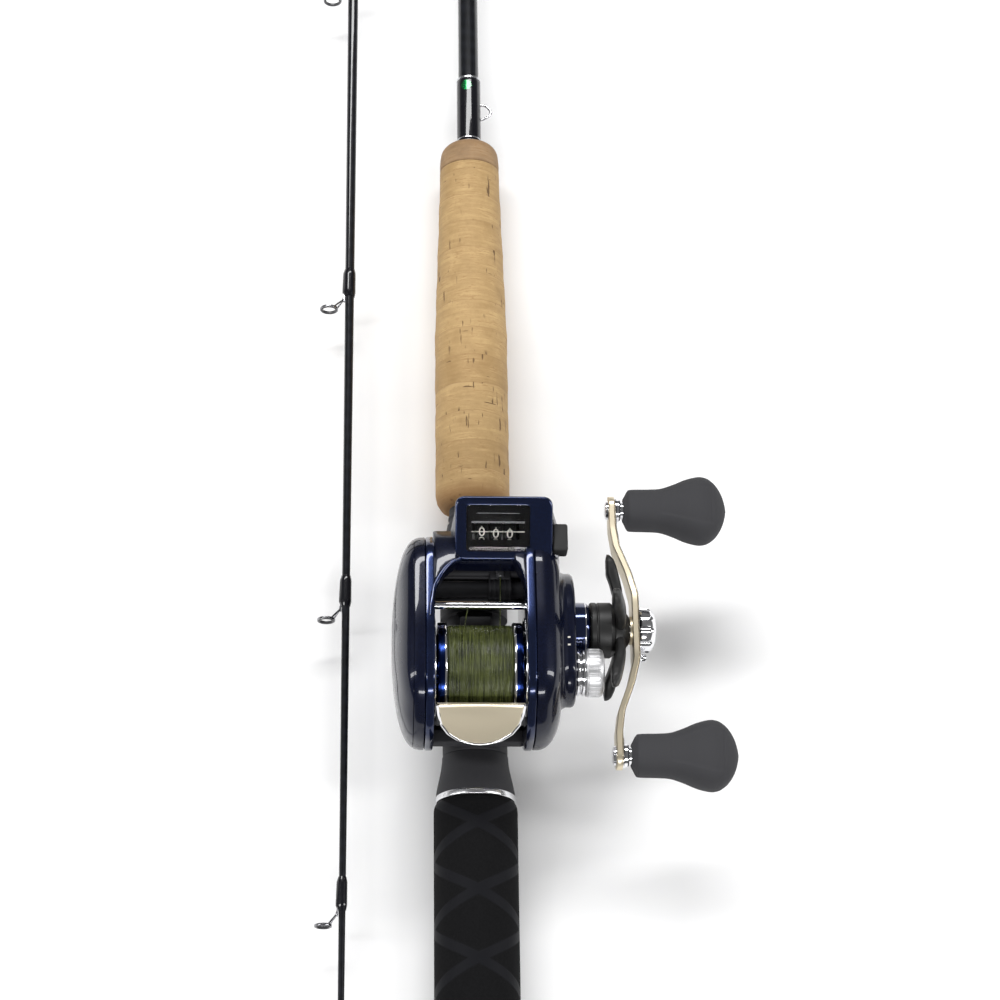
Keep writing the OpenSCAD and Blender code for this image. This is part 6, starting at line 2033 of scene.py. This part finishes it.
    def build_cap(self) -> None:
        """Ribbed cast control cap with two bright rings."""
        x, r = self.cap.lo.x, self.cap.hi.z - SPOOL[1]
        inner = 5.1
        body = [(inner, x + 3.9), (r - 0.55, x + 3.9), (r - 0.35, x + 4.3), (r - 0.35, x + 9.4),
                (r - 0.8, x + 10.1), (r - 1.9, x + 10.55), (0, x + 10.6), (0, x + 7.4), (2.2, x + 7.4),
                (2.2, x + 4.9), (inner, x + 4.9)]
        mount(build("cast_control_cap", turned(body, Axis.ACROSS, SPOOL, 112, False)), "tension_cap",
                CAP_METAL, "tension_knob")
        rings = Shape()
        for start in (x, x + 2.0):
            rings.join(turned([(inner, start), (8.1, start), (8.6, start + 0.5), (8.65, start + 0.9),
                    (8.6, start + 1.3), (8.1, start + 1.75), (inner, start + 1.75)], Axis.ACROSS, SPOOL, 96,
                    round_by=0.15))
        for start, end in ((x + 1.7, x + 2.1), (x + 3.7, x + 4.0)):
            neck = [(inner, start), (7.6, start), (7.6, end), (inner, end)]
            rings.join(turned(neck, Axis.ACROSS, SPOOL, 64))
        mount(build("cast_control_rings", rings), "tension_cap", CHROME)
        rib = build("cast_control_ribs", block((x + 4.6, SPOOL[0] - 0.95, SPOOL[1] + r - 0.9),
                (x + 9.1, SPOOL[0] + 0.95, SPOOL[1] + r - 0.18)), 0.25)
        mount(Repeat.round_axis(rib, self.ribs, Axis.ACROSS, (0, *SPOOL), CAP_METAL), "tension_cap",
                CAP_METAL)


def read(table: Sequence[Pair], at_x: float) -> float:
    """Value of a table of (place, value) at a place, on straight lines between its rows."""
    if at_x <= table[0][0]:
        return table[0][1]
    for (a, p), (b, q) in zip(table, table[1:]):
        if at_x <= b:
            return p + (q - p) * (at_x - a) / (b - a)
    return table[-1][1]


def turn_steps(sides: int) -> list[float]:
    """Even angles round a full turn."""
    return [2 * pi * k / sides for k in range(sides)]


def smooth_step(t: float) -> float:
    """Smooth rise from 0 to 1."""
    t = min(1.0, max(0.0, t))
    return t * t * (3 - 2 * t)


@dataclass
class InnerWorks:
    """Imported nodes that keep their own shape, and the finish that each gets."""

    finishes: dict[str, Finish] = field(default_factory=lambda: {"drive_gear": BRASS, "feed_gear": BRASS,
            "pinion_gear": BRASS, "worm_gear": NYLON, "drag_washers": CARBON, "drive_shaft": STEEL,
            "anti_reverse_bearing": STEEL, "clutch_yoke": STEEL, "yoke_springs": STEEL,
            "reset_spring": STEEL, "counter_axle": STEEL, "brake_rotor": BLACK_DULL})

    def build(self) -> None:
        """Dress each node in its finish."""
        for node, finish in self.finishes.items():
            refinish(finish, node)


# Studio


@dataclass
class Studio:
    """Floor, light and camera, in metres."""

    eye: Point = (-0.0417, -0.1418, 0.8937)
    look: Point = (0.05422, 0.39069, -0.91891)
    right: Point = (0.99849, -0.01344, 0.05321)
    lens: float = 87.12
    sensor: float = 36.0
    below: float = 0.0006
    surround: float = 0.15

    def build(self) -> None:
        """Set up the floor, the light and the camera."""
        self.build_floor()
        self.build_light()
        self.build_camera()

    def build_floor(self) -> None:
        """Plain pale floor under the whole object."""
        low = CAD_BOX[0][2] - self.below
        mesh = bpy.data.meshes.new("studio_floor")
        size = 7.0
        mesh.from_pydata([(-size, -size, low), (size, -size, low), (size, size, low), (-size, size, low)],
                [], [(0, 1, 2, 3)])
        floor = bpy.data.objects.new("studio_floor", mesh)
        bpy.context.scene.collection.objects.link(floor)
        mesh.materials.append(FLOOR.material())

    def build_light(self) -> None:
        """Soft white surround and four long soft strips."""
        world = bpy.data.worlds.new("soft_surround")
        world.use_nodes = True
        world.node_tree.nodes["Background"].inputs["Color"].default_value = (1.0, 1.0, 1.0, 1.0)
        world.node_tree.nodes["Background"].inputs["Strength"].default_value = self.surround
        bpy.context.scene.world = world
        for name, place, size, tall, power in (("front_strip", (-0.2, 1.25, 1.3), 1.5, 0.22, 20.0),
                ("rear_strip", (0.05, -1.15, 1.0), 1.2, 0.2, 13.0),
                ("left_strip", (-1.45, 0.1, 1.15), 0.22, 1.4, 13.0),
                ("right_strip", (1.45, 0.2, 1.15), 0.22, 1.4, 13.0)):
            lamp = bpy.data.lights.new(name, "AREA")
            lamp.shape, lamp.size, lamp.size_y, lamp.energy = "RECTANGLE", size, tall, power
            obj = bpy.data.objects.new(name, lamp)
            obj.location = place
            obj.rotation_euler = (Vector((0.0, 0.15, 0.0)) - Vector(place)).to_track_quat("-Z",
                    "Y").to_euler()
            bpy.context.scene.collection.objects.link(obj)

    def build_camera(self) -> None:
        """Camera above the rear grip, looking down the rod."""
        data = bpy.data.cameras.new("camera")
        data.lens, data.sensor_width, data.clip_start = self.lens, self.sensor, 0.01
        camera = bpy.data.objects.new("camera", data)
        look, right = Vector(self.look).normalized(), Vector(self.right).normalized()
        up = right.cross(look)
        turn = Matrix((right, up, -look)).transposed().to_4x4()
        camera.matrix_world = Matrix.Translation(self.eye) @ turn
        bpy.context.scene.collection.objects.link(camera)
        bpy.context.scene.camera = camera
        bpy.context.scene.view_settings.view_transform = "Standard"


def main() -> None:
    """Build everything in order."""
    logging.basicConfig(level=logging.INFO, format="%(message)s")
    Studio().build()
    ButtSection().build()
    build_butt_guides()
    TipSection().build()
    ReelBody().build()
    LineCounter().build()
    SpoolAndWind().build()
    CrankSide().build()
    InnerWorks().build()


if __name__ == "__main__":
    main()
